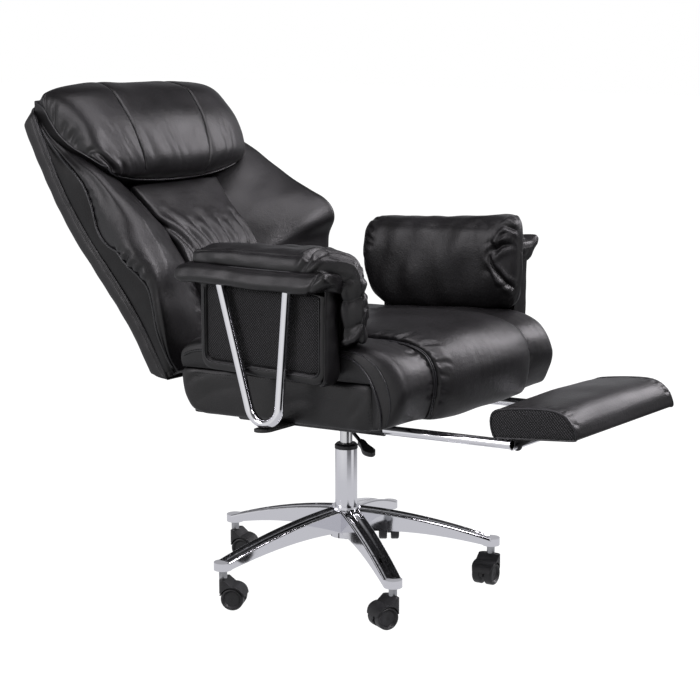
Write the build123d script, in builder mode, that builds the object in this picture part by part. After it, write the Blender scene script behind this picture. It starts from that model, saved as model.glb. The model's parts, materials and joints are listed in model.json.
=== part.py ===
"""Reclining office chair with a pull-out footrest, shown reclined with the footrest out.

Row frame: +Z up, the chair faces -Y and +X is the sitter's left. The origin is on the floor, on the
axis of the gas lift. All sizes are in millimetres.
"""
from build123d import *
import os
from math import acos, atan2, cos, hypot, pi, radians, sin, tan

# ---------------------------------------------------------------- driving dimensions
# five-star base
base_tip_radius = 350.0
arm_count = 5
first_arm_angle = -53.1
hub_diameter = 72.0
hub_bottom = 108.0
hub_top = 178.0
arm_root_width = 46.0
arm_root_height = 50.0
arm_tip_width = 40.0
arm_tip_height = 17.0
arm_tip_top = 102.0
arm_arch = 9.0
rim_width = 9.0
rim_rise = 3.0
base_wall = 4.0

# gas lift
lift_tube_diameter = 50.0
lift_tube_wall = 2.0
lift_tube_top = 310.0
lift_collar_height = 12.0
lift_guide_length = 80.0
column_diameter = 28.0
column_wall = 3.0
column_bottom = 134.0
rod_diameter = 10.0
rod_end_drop = 8.0
piston_height = 8.0
piston_top = 352.0
bearing_height = 7.0
bearing_diameter = 26.0
clip_thickness = 2.0

# casters
wheel_diameter = 50.0
wheel_width = 20.0
wheel_bore = 8.0
wheel_gap = 9.0
wheel_edge_round = 5.0
wheel_dish_depth = 5.0
caster_trail = 24.0
caster_inset = 22.0
stem_diameter = 11.0
stem_flange_diameter = 18.0
hood_wall = 2.6
hood_clearance = 1.2
hood_plan_round = 12.0
hood_boss_diameter = 17.0
hood_top = 66.0
hood_boss_bottom = 47.0
caster_headings = [7.4, 217.4, 107.4, 117.4, 337.4]

# seat
seat_tilt = 2.6
seat_underside = 427.0
seat_half_width = 300.0
seat_rear = -222.0
board_thickness = 15.0
board_margin = 12.0
band_height = 84.0
band_front = 300.0
band_round = 14.0
seam_offset = 178.0
cushion_rear = -214.0
cushion_rear_height = 150.0
cushion_height = 172.0
cushion_front = 366.0
cushion_crown_at = 200.0
cushion_shoulder = 14.0
cushion_shoulder_drop = 40.0
cushion_nose_height = 85.0
crown_lift = 24.0
cushion_low_edge = 8.0

# mechanism and height lever
mechanism_width = 190.0
mechanism_length = 170.0
mechanism_plate = 3.0
mechanism_box_width = 120.0
mechanism_box_length = 130.0
mechanism_depth = 44.0
mechanism_wall = 3.0
socket_diameter = 46.0
socket_drop = 20.0
column_top_inset = 6.0
bolt_diameter = 8.0
bolt_head_width = 13.0
bolt_head_height = 5.5
lever_pivot_x = -74.0
lever_pivot_forward = 44.0
lever_pivot_drop = 30.0
lever_pivot_pin = 6.0
lever_reach = 232.0
lever_heading = 232.6
lever_rod_diameter = 8.0
lever_drop_angle = 6.0
lever_hub_length = 8.0
lever_hub_diameter = 14.0
lever_ear_thickness = 3.0
lever_ear_reach = 33.0
paddle_length = 78.0
paddle_width = 25.0
paddle_thickness = 9.0

# arms
loop_inset = 14.0
loop_tube_diameter = 20.0
loop_tube_wall = 1.6
loop_bend_radius = 41.0
loop_rear_top = -55.0
loop_front_top = 128.0
loop_bend_forward = 64.0
loop_socket_depth = 14.0
arm_bracket_width = 42.0
arm_bracket_thickness = 5.0
arm_bracket_reach = 216.0
panel_inner = 306.0
panel_thickness = 42.0
panel_rear = -120.0
panel_front = 222.0
panel_bottom = 529.0
panel_corner_round = 26.0
mesh_border = 24.0
mesh_depth = 3.0
cap_outer = 376.0
cap_bottom = 722.0
cap_thickness = 43.0
cap_rear = -176.0
cap_front = 243.0
cap_edge_round = 16.0
pillow_inner = 236.0
pillow_rear = -146.0
pillow_front = 278.0
pillow_rise_front = 53.0
pillow_rise_rear = 31.0
pillow_drop = 159.0
pillow_floor_slope = 0.07
pillow_outer = 350.0

# back, in its own plane: s runs up the back, t runs forward from its rear face
recline_angle = 35.0
back_foot_y = 348.0
back_foot_z = 471.0
back_half_width = 265.0
shell_thickness = 45.0
shell_length = 676.0
shell_top_round = 16.0
shell_foot_drop = 31.0
back_board_thickness = 12.0
back_board_half_width = 228.0
back_board_bottom = 6.0
back_board_top = 640.0
centre_half_width = 125.0
centre_bottom = -12.0
centre_top = 410.0
centre_lumbar_depth = 142.0
centre_top_depth = 112.0
wing_inner = 142.0
wing_outer = 292.0
wing_bottom = -6.0
wing_top = 442.0
headrest_half_width = 266.0
headrest_bottom = 424.0
headrest_top = 694.0
headrest_front = 188.0
lumbar_peak = 90.0
lumbar_period = 700.0
lumbar_depth = 16.0
lumbar_mean = -9.0

# recline hinge
hinge_y = 245.0
hinge_z = 500.0
hinge_eye_radius = 16.0
hinge_plate_thickness = 4.0
hinge_plate_offset = 131.0
hinge_pin_diameter = 10.0
hinge_pin_head = 17.0
seat_plate_reach = 110.0
seat_plate_width = 26.0
seat_plate_drop = 22.0

# footrest
rail_offset = 190.0
rail_diameter = 20.0
rail_wall = 1.6
rail_drop = 17.0
rail_rear = 100.0
rail_end = 559.0
sleeve_diameter = 27.0
sleeve_rear = -145.0
sleeve_front = 245.0
saddle_length = 36.0
footrest_hinge_at = 552.0
footrest_hinge_drop = 26.0
cross_tube_diameter = 12.0
ear_thickness = 4.0
ear_offset = 160.0
ear_reach = 46.0
pad_half_width = 195.0
pad_rear = 513.0
pad_front = 710.0
pad_height = 61.0
pad_rise = 3.5
pad_board_thickness = 9.0
pad_board_margin = 14.0

# clearances
running_fit = 0.05
seat_gap = 0.3
soft_gap = 1.0


# ---------------------------------------------------------------- planes
def side_plane(x):
    """Upright plane across the chair at x: sketch x is the row's Y, sketch y is Z."""
    return Plane(origin=(x, 0, 0), x_dir=(0, 1, 0), z_dir=(1, 0, 0))


def seat_plane(x):
    """Side plane on the tilted seat: sketch x runs forward, sketch y runs up from its underside."""
    tilt = radians(seat_tilt)
    return Plane(origin=(x, 0, seat_underside), x_dir=(0, -cos(tilt), sin(tilt)), z_dir=(-1, 0, 0))


def seat_floor(height):
    """Plane parallel to the seat board: sketch x is the row's X, sketch y runs back."""
    tilt = radians(seat_tilt)
    return Plane(
        origin=(0, height * sin(tilt), seat_underside + height * cos(tilt)),
        x_dir=(1, 0, 0),
        z_dir=(0, sin(tilt), cos(tilt)),
    )


def back_plane(x):
    """Side plane on the reclined back: sketch x is s, up the back, and sketch y is t, forward."""
    lean = radians(recline_angle)
    return Plane(origin=(x, back_foot_y, back_foot_z), x_dir=(0, sin(lean), cos(lean)), z_dir=(1, 0, 0))


def back_section(s):
    """Plane square to the back at s: sketch x is the row's X and sketch y is t."""
    lean = radians(recline_angle)
    foot = (0, back_foot_y + s * sin(lean), back_foot_z + s * cos(lean))
    return Plane(origin=foot, x_dir=(1, 0, 0), z_dir=(0, -sin(lean), -cos(lean)))


def finish(piece, name):
    """Label a finished piece and write it to its own STEP file."""
    piece.part.label = name
    export_step(piece.part, f"parts/{name}.step")


def turned(profile_plane, name, points):
    """Revolve a closed outline, given as (radius, height) points, about the plane's upright axis."""
    with BuildPart() as piece:
        with BuildSketch(profile_plane):
            with BuildLine():
                Polyline(*points, close=True)
            make_face()
        revolve(axis=Axis(profile_plane.origin, profile_plane.y_dir))
    finish(piece, name)
    return piece


os.makedirs("parts", exist_ok=True)
axis_side = Plane(origin=(0, 0, 0), x_dir=(1, 0, 0), z_dir=(0, -1, 0))

# ---------------------------------------------------------------- five-star base
stem_radius = base_tip_radius - caster_inset
arm_root = hub_diameter / 2 - 6


def arm_station(radius):
    """Width, top height and depth of a base arm at this radius from the lift axis."""
    run = (radius - arm_root) / (stem_radius - arm_root)
    width = arm_root_width + (arm_tip_width - arm_root_width) * run
    depth = arm_root_height + (arm_tip_height - arm_root_height) * run ** 0.8
    root_top = hub_top - 6
    top = root_top + (arm_tip_top - root_top) * run + arm_arch * 4 * run * (1 - run)
    return width, top, depth


def arm_sections(inset, first, last):
    """Crowned sections along one arm, each smaller all round by the inset."""
    sections = []
    for step in range(4):
        radius = first + (last - first) * step / 3
        width, top, depth = arm_station(radius)
        half, crown = width / 2 - inset, (top - inset)
        shoulder, low = crown - rim_rise - 1.5, top - depth - (1 if inset else 0)
        with BuildSketch(Plane(origin=(radius, 0, 0), x_dir=(0, 1, 0), z_dir=(1, 0, 0))) as section:
            with BuildLine():
                Line((-half, low), (half, low))
                Line((half, low), (half, shoulder))
                Spline(
                    (half, shoulder), (half - rim_width * 0.4, crown), (half - rim_width, crown - rim_rise),
                    (0, crown - rim_rise * 0.6),
                    (rim_width - half, crown - rim_rise), (rim_width * 0.4 - half, crown), (-half, shoulder),
                )
                Line((-half, shoulder), (-half, low))
            make_face()
        sections.append(section.sketch)
    return sections


with BuildPart() as base_arm:
    loft(sections=arm_sections(0, arm_root, stem_radius))
    with BuildSketch(Plane.XY.offset(arm_tip_top - arm_tip_height)):
        with Locations((stem_radius, 0)):
            Circle(arm_tip_width / 2)
    extrude(amount=arm_tip_height)
    with BuildSketch(Plane.XY.offset(arm_tip_top - arm_tip_height)):
        with Locations((stem_radius, 0)):
            Circle(stem_diameter / 2 + running_fit)
    extrude(amount=arm_tip_height - base_wall, mode=Mode.SUBTRACT)

with BuildPart() as arm_hollow:
    loft(sections=arm_sections(base_wall, arm_root + 14, stem_radius - arm_tip_width / 2 - base_wall))

with BuildPart() as star_base:
    with BuildSketch(Plane.XY.offset(hub_bottom)):
        Circle(hub_diameter / 2)
    extrude(amount=hub_top - hub_bottom, taper=3)
    with PolarLocations(0, arm_count, start_angle=first_arm_angle):
        add(base_arm.part)
    with PolarLocations(0, arm_count, start_angle=first_arm_angle):
        add(arm_hollow.part, mode=Mode.SUBTRACT)
    with Locations((0, 0, hub_bottom)):
        Cylinder(
            lift_tube_diameter / 2, 2 * (hub_top - hub_bottom) + 40,
            align=(Align.CENTER, Align.CENTER, Align.CENTER), mode=Mode.SUBTRACT,
        )
finish(star_base, "star_base")

# ---------------------------------------------------------------- gas lift
tube_bottom = hub_bottom - 2
tube_bore = lift_tube_diameter / 2 - lift_tube_wall
floor_top = tube_bottom + 4
rod_radius = rod_diameter / 2
column_radius = column_diameter / 2
column_top = seat_underside - mechanism_plate - column_top_inset

turned(axis_side, "lift_outer_tube", [
    (rod_radius + 0.5, tube_bottom), (lift_tube_diameter / 2, tube_bottom),
    (lift_tube_diameter / 2, lift_tube_top), (tube_bore, lift_tube_top),
    (tube_bore, floor_top), (rod_radius + 0.5, floor_top),
])
collar_top = lift_tube_top + lift_collar_height
turned(axis_side, "lift_collar", [
    (column_radius + running_fit, lift_tube_top - lift_guide_length),
    (tube_bore, lift_tube_top - lift_guide_length),
    (tube_bore, lift_tube_top), (lift_tube_diameter / 2 + 1, lift_tube_top),
    (lift_tube_diameter / 2 + 1, collar_top - 4), (lift_tube_diameter / 2 - 3, collar_top),
    (column_radius + running_fit, collar_top),
])
turned(axis_side, "thrust_bearing", [
    (rod_radius + running_fit, floor_top), (bearing_diameter / 2, floor_top),
    (bearing_diameter / 2, floor_top + bearing_height),
    (rod_radius + running_fit, floor_top + bearing_height),
])
turned(axis_side, "piston_rod", [
    (0, tube_bottom - rod_end_drop), (rod_radius, tube_bottom - rod_end_drop),
    (rod_radius, floor_top + bearing_height), (rod_radius + 3, floor_top + bearing_height),
    (rod_radius + 3, floor_top + bearing_height + 3), (rod_radius, floor_top + bearing_height + 3),
    (rod_radius, piston_top - piston_height),
    (column_radius - column_wall - running_fit, piston_top - piston_height),
    (column_radius - column_wall - running_fit, piston_top), (0, piston_top),
])
turned(axis_side, "retaining_clip", [
    (rod_radius, tube_bottom - seat_gap - clip_thickness),
    (rod_radius + 5, tube_bottom - seat_gap - clip_thickness),
    (rod_radius + 5, tube_bottom - seat_gap), (rod_radius, tube_bottom - seat_gap),
])
turned(axis_side, "gas_cylinder", [
    (rod_radius + running_fit, column_bottom), (column_radius, column_bottom), (column_radius, column_top),
    (0, column_top), (0, column_top - 20), (column_radius - column_wall, column_top - 20),
    (column_radius - column_wall, column_bottom + 6), (rod_radius + running_fit, column_bottom + 6),
])

# ---------------------------------------------------------------- casters
stem_flange_bottom = hood_top + seat_gap
tip_underside = arm_tip_top - arm_tip_height
stem_top = arm_tip_top - base_wall - 1
stem_bottom = hood_boss_bottom + 1
with BuildPart() as caster_stems:
    with PolarLocations(stem_radius, arm_count, start_angle=first_arm_angle):
        Cylinder(
            stem_diameter / 2, stem_top - stem_bottom,
            align=(Align.CENTER, Align.CENTER, Align.MIN), mode=Mode.ADD,
        )
    with PolarLocations(stem_radius, arm_count, start_angle=first_arm_angle):
        with Locations((0, 0, stem_flange_bottom - stem_bottom)):
            Cylinder(
                stem_flange_diameter / 2, tip_underside - stem_flange_bottom,
                align=(Align.CENTER, Align.CENTER, Align.MIN),
            )
caster_stems.part.locate(Location((0, 0, stem_bottom)))
finish(caster_stems, "caster_stems")

wheel_radius = wheel_diameter / 2
wheel_near = wheel_gap / 2 + seat_gap
axle_height = wheel_radius
wheel_reach = wheel_gap / 2 + wheel_width + hood_clearance

with BuildPart() as hood:
    with BuildSketch(Plane.XZ):
        with Locations((-caster_trail, axle_height)):
            Circle(wheel_radius + hood_clearance + hood_wall)
        with BuildLine():
            Polyline(
                (-caster_trail, axle_height + 20), (-caster_trail, wheel_diameter + hood_wall),
                (-hood_boss_diameter / 2, hood_top), (hood_boss_diameter / 2, hood_top),
                (hood_boss_diameter / 2, axle_height + 10), close=True,
            )
        make_face()
        with Locations((-caster_trail, axle_height + 6)):
            Rectangle(
                4 * wheel_diameter, wheel_diameter, align=(Align.CENTER, Align.MAX), mode=Mode.SUBTRACT
            )
    extrude(amount=wheel_reach, both=True)
    with BuildSketch(Plane.XY):
        Circle(hood_boss_diameter / 2)
        with Locations((-caster_trail, 0)):
            RectangleRounded(wheel_diameter + 9, 2 * wheel_reach, hood_plan_round)
        with BuildLine():
            Polyline(
                (0, hood_boss_diameter / 2), (-caster_trail / 2, wheel_reach - 1),
                (-caster_trail / 2, 1 - wheel_reach), (0, -hood_boss_diameter / 2), close=True,
            )
        make_face()
    extrude(amount=hood_top, mode=Mode.INTERSECT)
    with BuildSketch(Plane.XZ):
        with Locations((-caster_trail, axle_height)):
            Circle(wheel_radius + hood_clearance)
    extrude(amount=2 * wheel_reach, both=True, mode=Mode.SUBTRACT)
    with BuildSketch(Plane.XZ):
        with Locations((-caster_trail, axle_height)):
            Circle(wheel_radius - 3)
            Circle(wheel_radius + hood_clearance + 1)
        with Locations((-caster_trail, axle_height - 3)):
            Rectangle(
                4 * wheel_diameter, wheel_diameter, align=(Align.CENTER, Align.MAX), mode=Mode.SUBTRACT
            )
    extrude(amount=wheel_gap / 2, both=True)
    with Locations((0, 0, hood_boss_bottom)):
        Cylinder(
            stem_diameter / 2 + running_fit, 2 * hood_top, mode=Mode.SUBTRACT,
            align=(Align.CENTER, Align.CENTER, Align.MIN),
        )
    with Locations(Location((-caster_trail, 0, axle_height), (90, 0, 0))):
        Cylinder(wheel_bore / 2, wheel_gap + 2, mode=Mode.SUBTRACT)

with BuildPart() as axle:
    with Locations(Location((-caster_trail, 0, axle_height), (90, 0, 0))):
        Cylinder(wheel_bore / 2, wheel_gap + 2 * (wheel_width - wheel_dish_depth))

with BuildPart() as wheel:
    with BuildSketch(Plane(origin=(-caster_trail, 0, axle_height), x_dir=(1, 0, 0), z_dir=(0, 0, 1))):
        with BuildLine():
            outer = wheel_near + wheel_width
            Polyline(
                (wheel_bore / 2 + running_fit, wheel_near),
                (wheel_radius - 2, wheel_near),
                (wheel_radius, wheel_near + 2),
                (wheel_radius, outer - wheel_edge_round),
            )
            RadiusArc(
                (wheel_radius, outer - wheel_edge_round), (wheel_radius - wheel_edge_round, outer),
                -wheel_edge_round,
            )
            Polyline(
                (wheel_radius - wheel_edge_round, outer),
                (wheel_radius - wheel_edge_round - 4, outer - wheel_dish_depth),
                (wheel_bore / 2 + running_fit, outer - wheel_dish_depth),
                (wheel_bore / 2 + running_fit, wheel_near),
            )
        make_face()
    revolve(axis=Axis((-caster_trail, 0, axle_height), (0, 1, 0)))

for number in range(arm_count):
    arm_angle = radians(first_arm_angle + 360 / arm_count * number)
    spot = Location(
        (stem_radius * cos(arm_angle), stem_radius * sin(arm_angle), 0), (0, 0, caster_headings[number])
    )
    with BuildPart() as placed_hood:
        with Locations(spot):
            add(hood.part)
    finish(placed_hood, f"caster_{number + 1}_hood")
    with BuildPart() as placed_axle:
        with Locations(spot):
            add(axle.part)
    finish(placed_axle, f"caster_{number + 1}_axle")
    with BuildPart() as left_wheel:
        with Locations(spot):
            add(wheel.part)
    finish(left_wheel, f"caster_{number + 1}_wheel_left")
    with BuildPart() as right_wheel:
        with Locations(spot):
            add(mirror(wheel.part, about=Plane.XZ, mode=Mode.PRIVATE))
    finish(right_wheel, f"caster_{number + 1}_wheel_right")

# ---------------------------------------------------------------- seat
board_half_width = seat_half_width - board_margin
board_front = band_front - board_margin
board_rear = seat_rear + board_margin
band_bottom = board_thickness

bolt_spots = [(x, y) for x in (-1, 1) for y in (-1, 1)]
mechanism_bolt_x = mechanism_width / 2 - 14
mechanism_bolt_y = mechanism_length / 2 - 14

with BuildPart() as seat_board:
    with BuildSketch(seat_floor(0)):
        with Locations((0, -(board_front + board_rear) / 2)):
            RectangleRounded(2 * board_half_width, board_front - board_rear, 30)
        with Locations([(x * mechanism_bolt_x, y * mechanism_bolt_y) for x, y in bolt_spots]):
            Circle(bolt_diameter / 2 + running_fit, mode=Mode.SUBTRACT)
    extrude(amount=board_thickness)
finish(seat_board, "seat_board")

with BuildPart() as seat_band:
    with BuildSketch(seat_plane(0)):
        with BuildLine():
            Polyline(
                (seat_rear + 20, band_bottom + seat_gap), (seat_rear, band_height),
                (seat_rear, band_bottom + band_height), (band_front, band_bottom + band_height),
                (band_front, band_bottom + seat_gap), close=True,
            )
        make_face()
    extrude(amount=seat_half_width, both=True)
    fillet(seat_band.edges().filter_by(Axis.X).group_by(Axis.Z)[-1].sort_by(Axis.Y)[-1:], band_round)
    fillet(seat_band.faces().filter_by(Axis.X).edges().filter_by(Plane.YZ).group_by(Axis.Z)[-1], 6)
finish(seat_band, "seat_band")

cushion_floor = band_bottom + band_height + seat_gap
cushion_back_wall = band_front + seat_gap
shoulder = cushion_front - cushion_shoulder


def channel_outline(lift, reach):
    """Side outline of the cushion: an L over the band, with a rolled front edge.

    lift raises the crown above the seam's height and reach moves the front roll forward."""
    with BuildSketch(seat_plane(0)) as outline:
        with BuildLine():
            front = Spline(
                (cushion_rear, cushion_rear_height + lift * 0.4),
                (0, cushion_height - 4 + lift * 0.9),
                (cushion_crown_at + reach * 0.5, cushion_height + lift),
                (band_front + reach, cushion_height - 10 + lift * 0.7),
                (shoulder + reach, cushion_height - cushion_shoulder_drop + lift * 0.4),
                (cushion_front + reach, cushion_nose_height),
                (shoulder + reach, cushion_low_edge + 6),
                ((shoulder + band_front) / 2 + 4 + reach * 0.6, cushion_low_edge),
            )
            Polyline(
                front @ 1, (cushion_back_wall, cushion_low_edge), (cushion_back_wall, cushion_floor),
                (cushion_rear, cushion_floor), front @ 0,
            )
        make_face()
    return outline.sketch.faces()[0]


def channel(stations):
    """One padded channel, lofted across the chair through (x, lift, reach) stations."""
    return loft(
        sections=[channel_outline(lift, reach).moved(Location((x, 0, 0))) for x, lift, reach in stations],
        mode=Mode.PRIVATE,
    )


seat_edge = seat_half_width - 2
channel_middle = (seam_offset + seat_edge) / 2
with BuildPart() as seat_cushion:
    add(channel([(-seam_offset, 0, 0), (0, crown_lift, crown_lift), (seam_offset, 0, 0)]))
    for side in (-1, 1):
        add(channel([
            (side * seam_offset, 0, 0), (side * channel_middle, crown_lift * 0.5, 4),
            (side * seat_edge, -18, -44),
        ]))
finish(seat_cushion, "seat_cushion")

# ---------------------------------------------------------------- mechanism and height lever
column_fit = column_radius + running_fit
lever_way = Vector(cos(radians(lever_heading)), sin(radians(lever_heading)), 0)
lever_pivot = Vector(lever_pivot_x, -lever_pivot_forward, seat_underside - lever_pivot_drop)
lever_plane = Plane(origin=lever_pivot, x_dir=lever_way, z_dir=lever_way.cross(Vector(0, 0, 1)))
ear_middle = lever_hub_length / 2 + seat_gap + lever_ear_thickness / 2
with BuildPart() as seat_mechanism:
    with BuildSketch(seat_floor(0)):
        RectangleRounded(mechanism_width, mechanism_length, 10)
        with Locations([(x * mechanism_bolt_x, y * mechanism_bolt_y) for x, y in bolt_spots]):
            Circle(bolt_diameter / 2 + running_fit, mode=Mode.SUBTRACT)
    extrude(amount=-mechanism_plate)
    with BuildSketch(seat_floor(-mechanism_plate)):
        RectangleRounded(mechanism_box_width, mechanism_box_length, 14)
        RectangleRounded(
            mechanism_box_width - 2 * mechanism_wall, mechanism_box_length - 2 * mechanism_wall, 11,
            mode=Mode.SUBTRACT,
        )
    extrude(amount=mechanism_plate - mechanism_depth)
    with BuildSketch(seat_floor(-mechanism_depth)):
        RectangleRounded(mechanism_box_width, mechanism_box_length, 14)
    extrude(amount=mechanism_wall)
    with Locations((0, 0, seat_underside - mechanism_plate)):
        Cylinder(
            socket_diameter / 2, socket_drop + mechanism_depth - mechanism_plate,
            align=(Align.CENTER, Align.CENTER, Align.MAX),
        )
    Cylinder(column_fit, 2 * column_top, mode=Mode.SUBTRACT)
    with BuildSketch(lever_plane):
        Circle(lever_pivot_pin / 2)
    extrude(amount=ear_middle + lever_ear_thickness / 2, both=True)
    for ear_at in (-ear_middle, ear_middle):
        with BuildSketch(lever_plane.offset(ear_at)):
            Circle(lever_hub_diameter / 2 + 1)
            with Locations((-lever_ear_reach / 2, 0)):
                Rectangle(lever_ear_reach, lever_hub_diameter)
        extrude(amount=lever_ear_thickness / 2, both=True)
finish(seat_mechanism, "seat_mechanism")

with BuildPart() as seat_bolts:
    with BuildSketch(seat_floor(board_thickness - 2)):
        with Locations([(x * mechanism_bolt_x, y * mechanism_bolt_y) for x, y in bolt_spots]):
            Circle(bolt_diameter / 2)
    extrude(amount=-(board_thickness - 2 + mechanism_plate))
    with BuildSketch(seat_floor(-mechanism_plate)):
        with Locations([(x * mechanism_bolt_x, y * mechanism_bolt_y) for x, y in bolt_spots]):
            RegularPolygon(bolt_head_width / 2, 6, major_radius=False)
    extrude(amount=-bolt_head_height)
finish(seat_bolts, "seat_bolts")

# ---------------------------------------------------------------- arms, built on the right and mirrored
loop_plane = cap_outer - loop_inset
cap_top = cap_bottom + cap_thickness
def both_arms(piece, name):
    """Write the right arm's piece and its mirror image on the left."""
    finish(piece, f"{name}_right")
    with BuildPart() as twin:
        add(mirror(piece.part, about=Plane.YZ, mode=Mode.PRIVATE))
    finish(twin, f"{name}_left")


def tangent_point(top, centre, radius, side):
    """Where the straight leg from top meets the bend circle, on the given side of it."""
    reach = atan2(top[1] - centre[1], top[0] - centre[0])
    spread = side * acos(radius / hypot(top[0] - centre[0], top[1] - centre[1]))
    return centre[0] + radius * cos(reach + spread), centre[1] + radius * sin(reach + spread)


bracket_top = seat_underside - seat_gap + loop_bend_forward * tan(radians(seat_tilt))
bend_centre = (-loop_bend_forward, bracket_top + seat_gap + loop_tube_diameter / 2 + loop_bend_radius)
leg_top = cap_bottom + loop_socket_depth
rear_leg_top, front_leg_top = (-loop_rear_top, leg_top), (-loop_front_top, leg_top)
rear_leg_foot = tangent_point(rear_leg_top, bend_centre, loop_bend_radius, -1)
front_leg_foot = tangent_point(front_leg_top, bend_centre, loop_bend_radius, 1)
with BuildLine(side_plane(-loop_plane)) as loop_wire:
    Line(rear_leg_top, rear_leg_foot)
    ThreePointArc(rear_leg_foot, (bend_centre[0], bend_centre[1] - loop_bend_radius), front_leg_foot)
    Line(front_leg_foot, front_leg_top)
loop_path = loop_wire.wires()[0]
with BuildPart() as arm_loop:
    with BuildSketch(Plane(loop_path @ 0, z_dir=loop_path % 0)):
        Circle(loop_tube_diameter / 2)
        Circle(loop_tube_diameter / 2 - loop_tube_wall, mode=Mode.SUBTRACT)
    sweep(path=loop_path)
both_arms(arm_loop, "arm_loop")

with BuildPart() as arm_cap:
    with BuildSketch(side_plane(0)):
        with BuildLine():
            Polyline(
                (-cap_rear, cap_bottom), (-cap_rear, cap_bottom + cap_thickness * 0.8),
                (-cap_rear - 40, cap_top),
                (-cap_front, cap_top), (-cap_front, cap_bottom), close=True,
            )
        make_face()
    extrude(amount=-cap_outer)
    with BuildSketch(Plane.XY.offset(cap_bottom - 1)):
        with Locations(((-cap_outer - panel_inner) / 2, -(cap_front + cap_rear) / 2)):
            Rectangle(cap_outer - panel_inner, cap_front - cap_rear)
    extrude(amount=cap_thickness + 2, mode=Mode.INTERSECT)
    outer_edges = arm_cap.edges().filter_by(Axis.Y).group_by(Axis.X)[0]
    fillet(outer_edges, cap_edge_round)
    with BuildSketch(Plane(loop_path @ 0, z_dir=loop_path % 0)):
        Circle(loop_tube_diameter / 2 + running_fit)
    extrude(amount=4 * loop_socket_depth, mode=Mode.SUBTRACT)
    with BuildSketch(Plane(loop_path @ 1, z_dir=-(loop_path % 1))):
        Circle(loop_tube_diameter / 2 + running_fit)
    extrude(amount=4 * loop_socket_depth, mode=Mode.SUBTRACT)
both_arms(arm_cap, "arm_cap")

panel_outer = panel_inner + panel_thickness
with BuildPart() as arm_panel:
    with BuildSketch(side_plane(-panel_outer)):
        with BuildLine():
            Polyline(
                (-panel_rear, cap_bottom), (-panel_front, cap_bottom), (-panel_front, panel_bottom + 6),
                (-panel_rear, panel_bottom - 2), close=True,
            )
        make_face()
    extrude(amount=panel_thickness)
    fillet(arm_panel.edges().filter_by(Axis.X).group_by(Axis.Z)[0], panel_corner_round)
    fillet(arm_panel.faces().sort_by(Axis.X)[0].edges().filter_by(Axis.Z), 8)
    with BuildSketch(side_plane(-panel_outer)) as mesh_recess:
        with Locations((-(panel_rear + panel_front) / 2, (cap_bottom + panel_bottom) / 2 + 4)):
            RectangleRounded(
                panel_front - panel_rear - 2 * mesh_border, cap_bottom - panel_bottom - 2 * mesh_border, 14
            )
    extrude(amount=mesh_depth, mode=Mode.SUBTRACT)
both_arms(arm_panel, "arm_panel")

with BuildPart() as arm_mesh_inserts:
    for side in (-1, 1):
        with BuildSketch(side_plane(side * (panel_outer - mesh_depth))):
            with Locations((-(panel_rear + panel_front) / 2, (cap_bottom + panel_bottom) / 2 + 4)):
                RectangleRounded(
                    panel_front - panel_rear - 2 * mesh_border - 2 * seat_gap,
                    cap_bottom - panel_bottom - 2 * mesh_border - 2 * seat_gap, 14,
                )
        extrude(amount=side * (mesh_depth - 1))
finish(arm_mesh_inserts, "arm_mesh_inserts")


def pillow_outline(shrink, drop, y):
    """Cross-section of an arm pillow: over the cap's top and down inside the panel."""
    rest = cap_top + seat_gap
    wall = -(panel_inner - seat_gap)
    run = (y - pillow_rear) / (pillow_front - pillow_rear)
    top = cap_top + pillow_rise_rear + (pillow_rise_front - pillow_rise_rear) * run
    floor = cap_top - pillow_drop + pillow_floor_slope * y
    crown = top - drop
    with BuildSketch(Plane(origin=(0, -y, 0), x_dir=(1, 0, 0), z_dir=(0, -1, 0))) as outline:
        with BuildLine():
            skin = Spline(
                (-pillow_outer, rest), (-pillow_outer + 14, rest + (crown - rest) * 0.6), (wall + 10, crown),
                (-pillow_inner - 14 - shrink, crown - 26), (-pillow_inner - shrink, (crown + floor) / 2 + 20),
                (-pillow_inner - 8 - shrink, floor + 50 + drop), (wall + 14, floor + drop),
            )
            Polyline(skin @ 1, (wall, floor + drop), (wall, rest), skin @ 0)
        make_face()
    return outline.sketch.faces()[0]


with BuildPart() as arm_cushion:
    loft(sections=[
        pillow_outline(26, 14, pillow_rear), pillow_outline(4, 2, pillow_rear + 40), pillow_outline(0, 0, 60),
        pillow_outline(2, 1, pillow_front - 45), pillow_outline(24, 14, pillow_front),
    ])
both_arms(arm_cushion, "arm_cushion")

with BuildPart() as arm_brackets:
    for side in (-1, 1):
        with BuildSketch(seat_floor(-seat_gap)):
            with Locations((side * (arm_bracket_reach + loop_plane) / 2, -loop_bend_forward)):
                Rectangle(loop_plane - arm_bracket_reach, arm_bracket_width)
            with Locations((side * loop_plane, -loop_bend_forward)):
                Circle(arm_bracket_width / 2)
        extrude(amount=-arm_bracket_thickness)
finish(arm_brackets, "arm_brackets")

# ---------------------------------------------------------------- footrest
rail_height = -rail_drop
footrest_axis = (footrest_hinge_at, -footrest_hinge_drop)


def tube_along(x, rear, front, outer, bore):
    """Round tube along the seat's tilt at x, from rear to front."""
    with BuildPart(mode=Mode.PRIVATE) as tube:
        with BuildSketch(Plane(seat_plane(x).from_local_coords((rear, rail_height, 0)), x_dir=(1, 0, 0),
                               z_dir=seat_plane(x).x_dir)):
            Circle(outer / 2)
            Circle(bore / 2, mode=Mode.SUBTRACT)
        extrude(amount=front - rear)
    return tube.part


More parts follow.
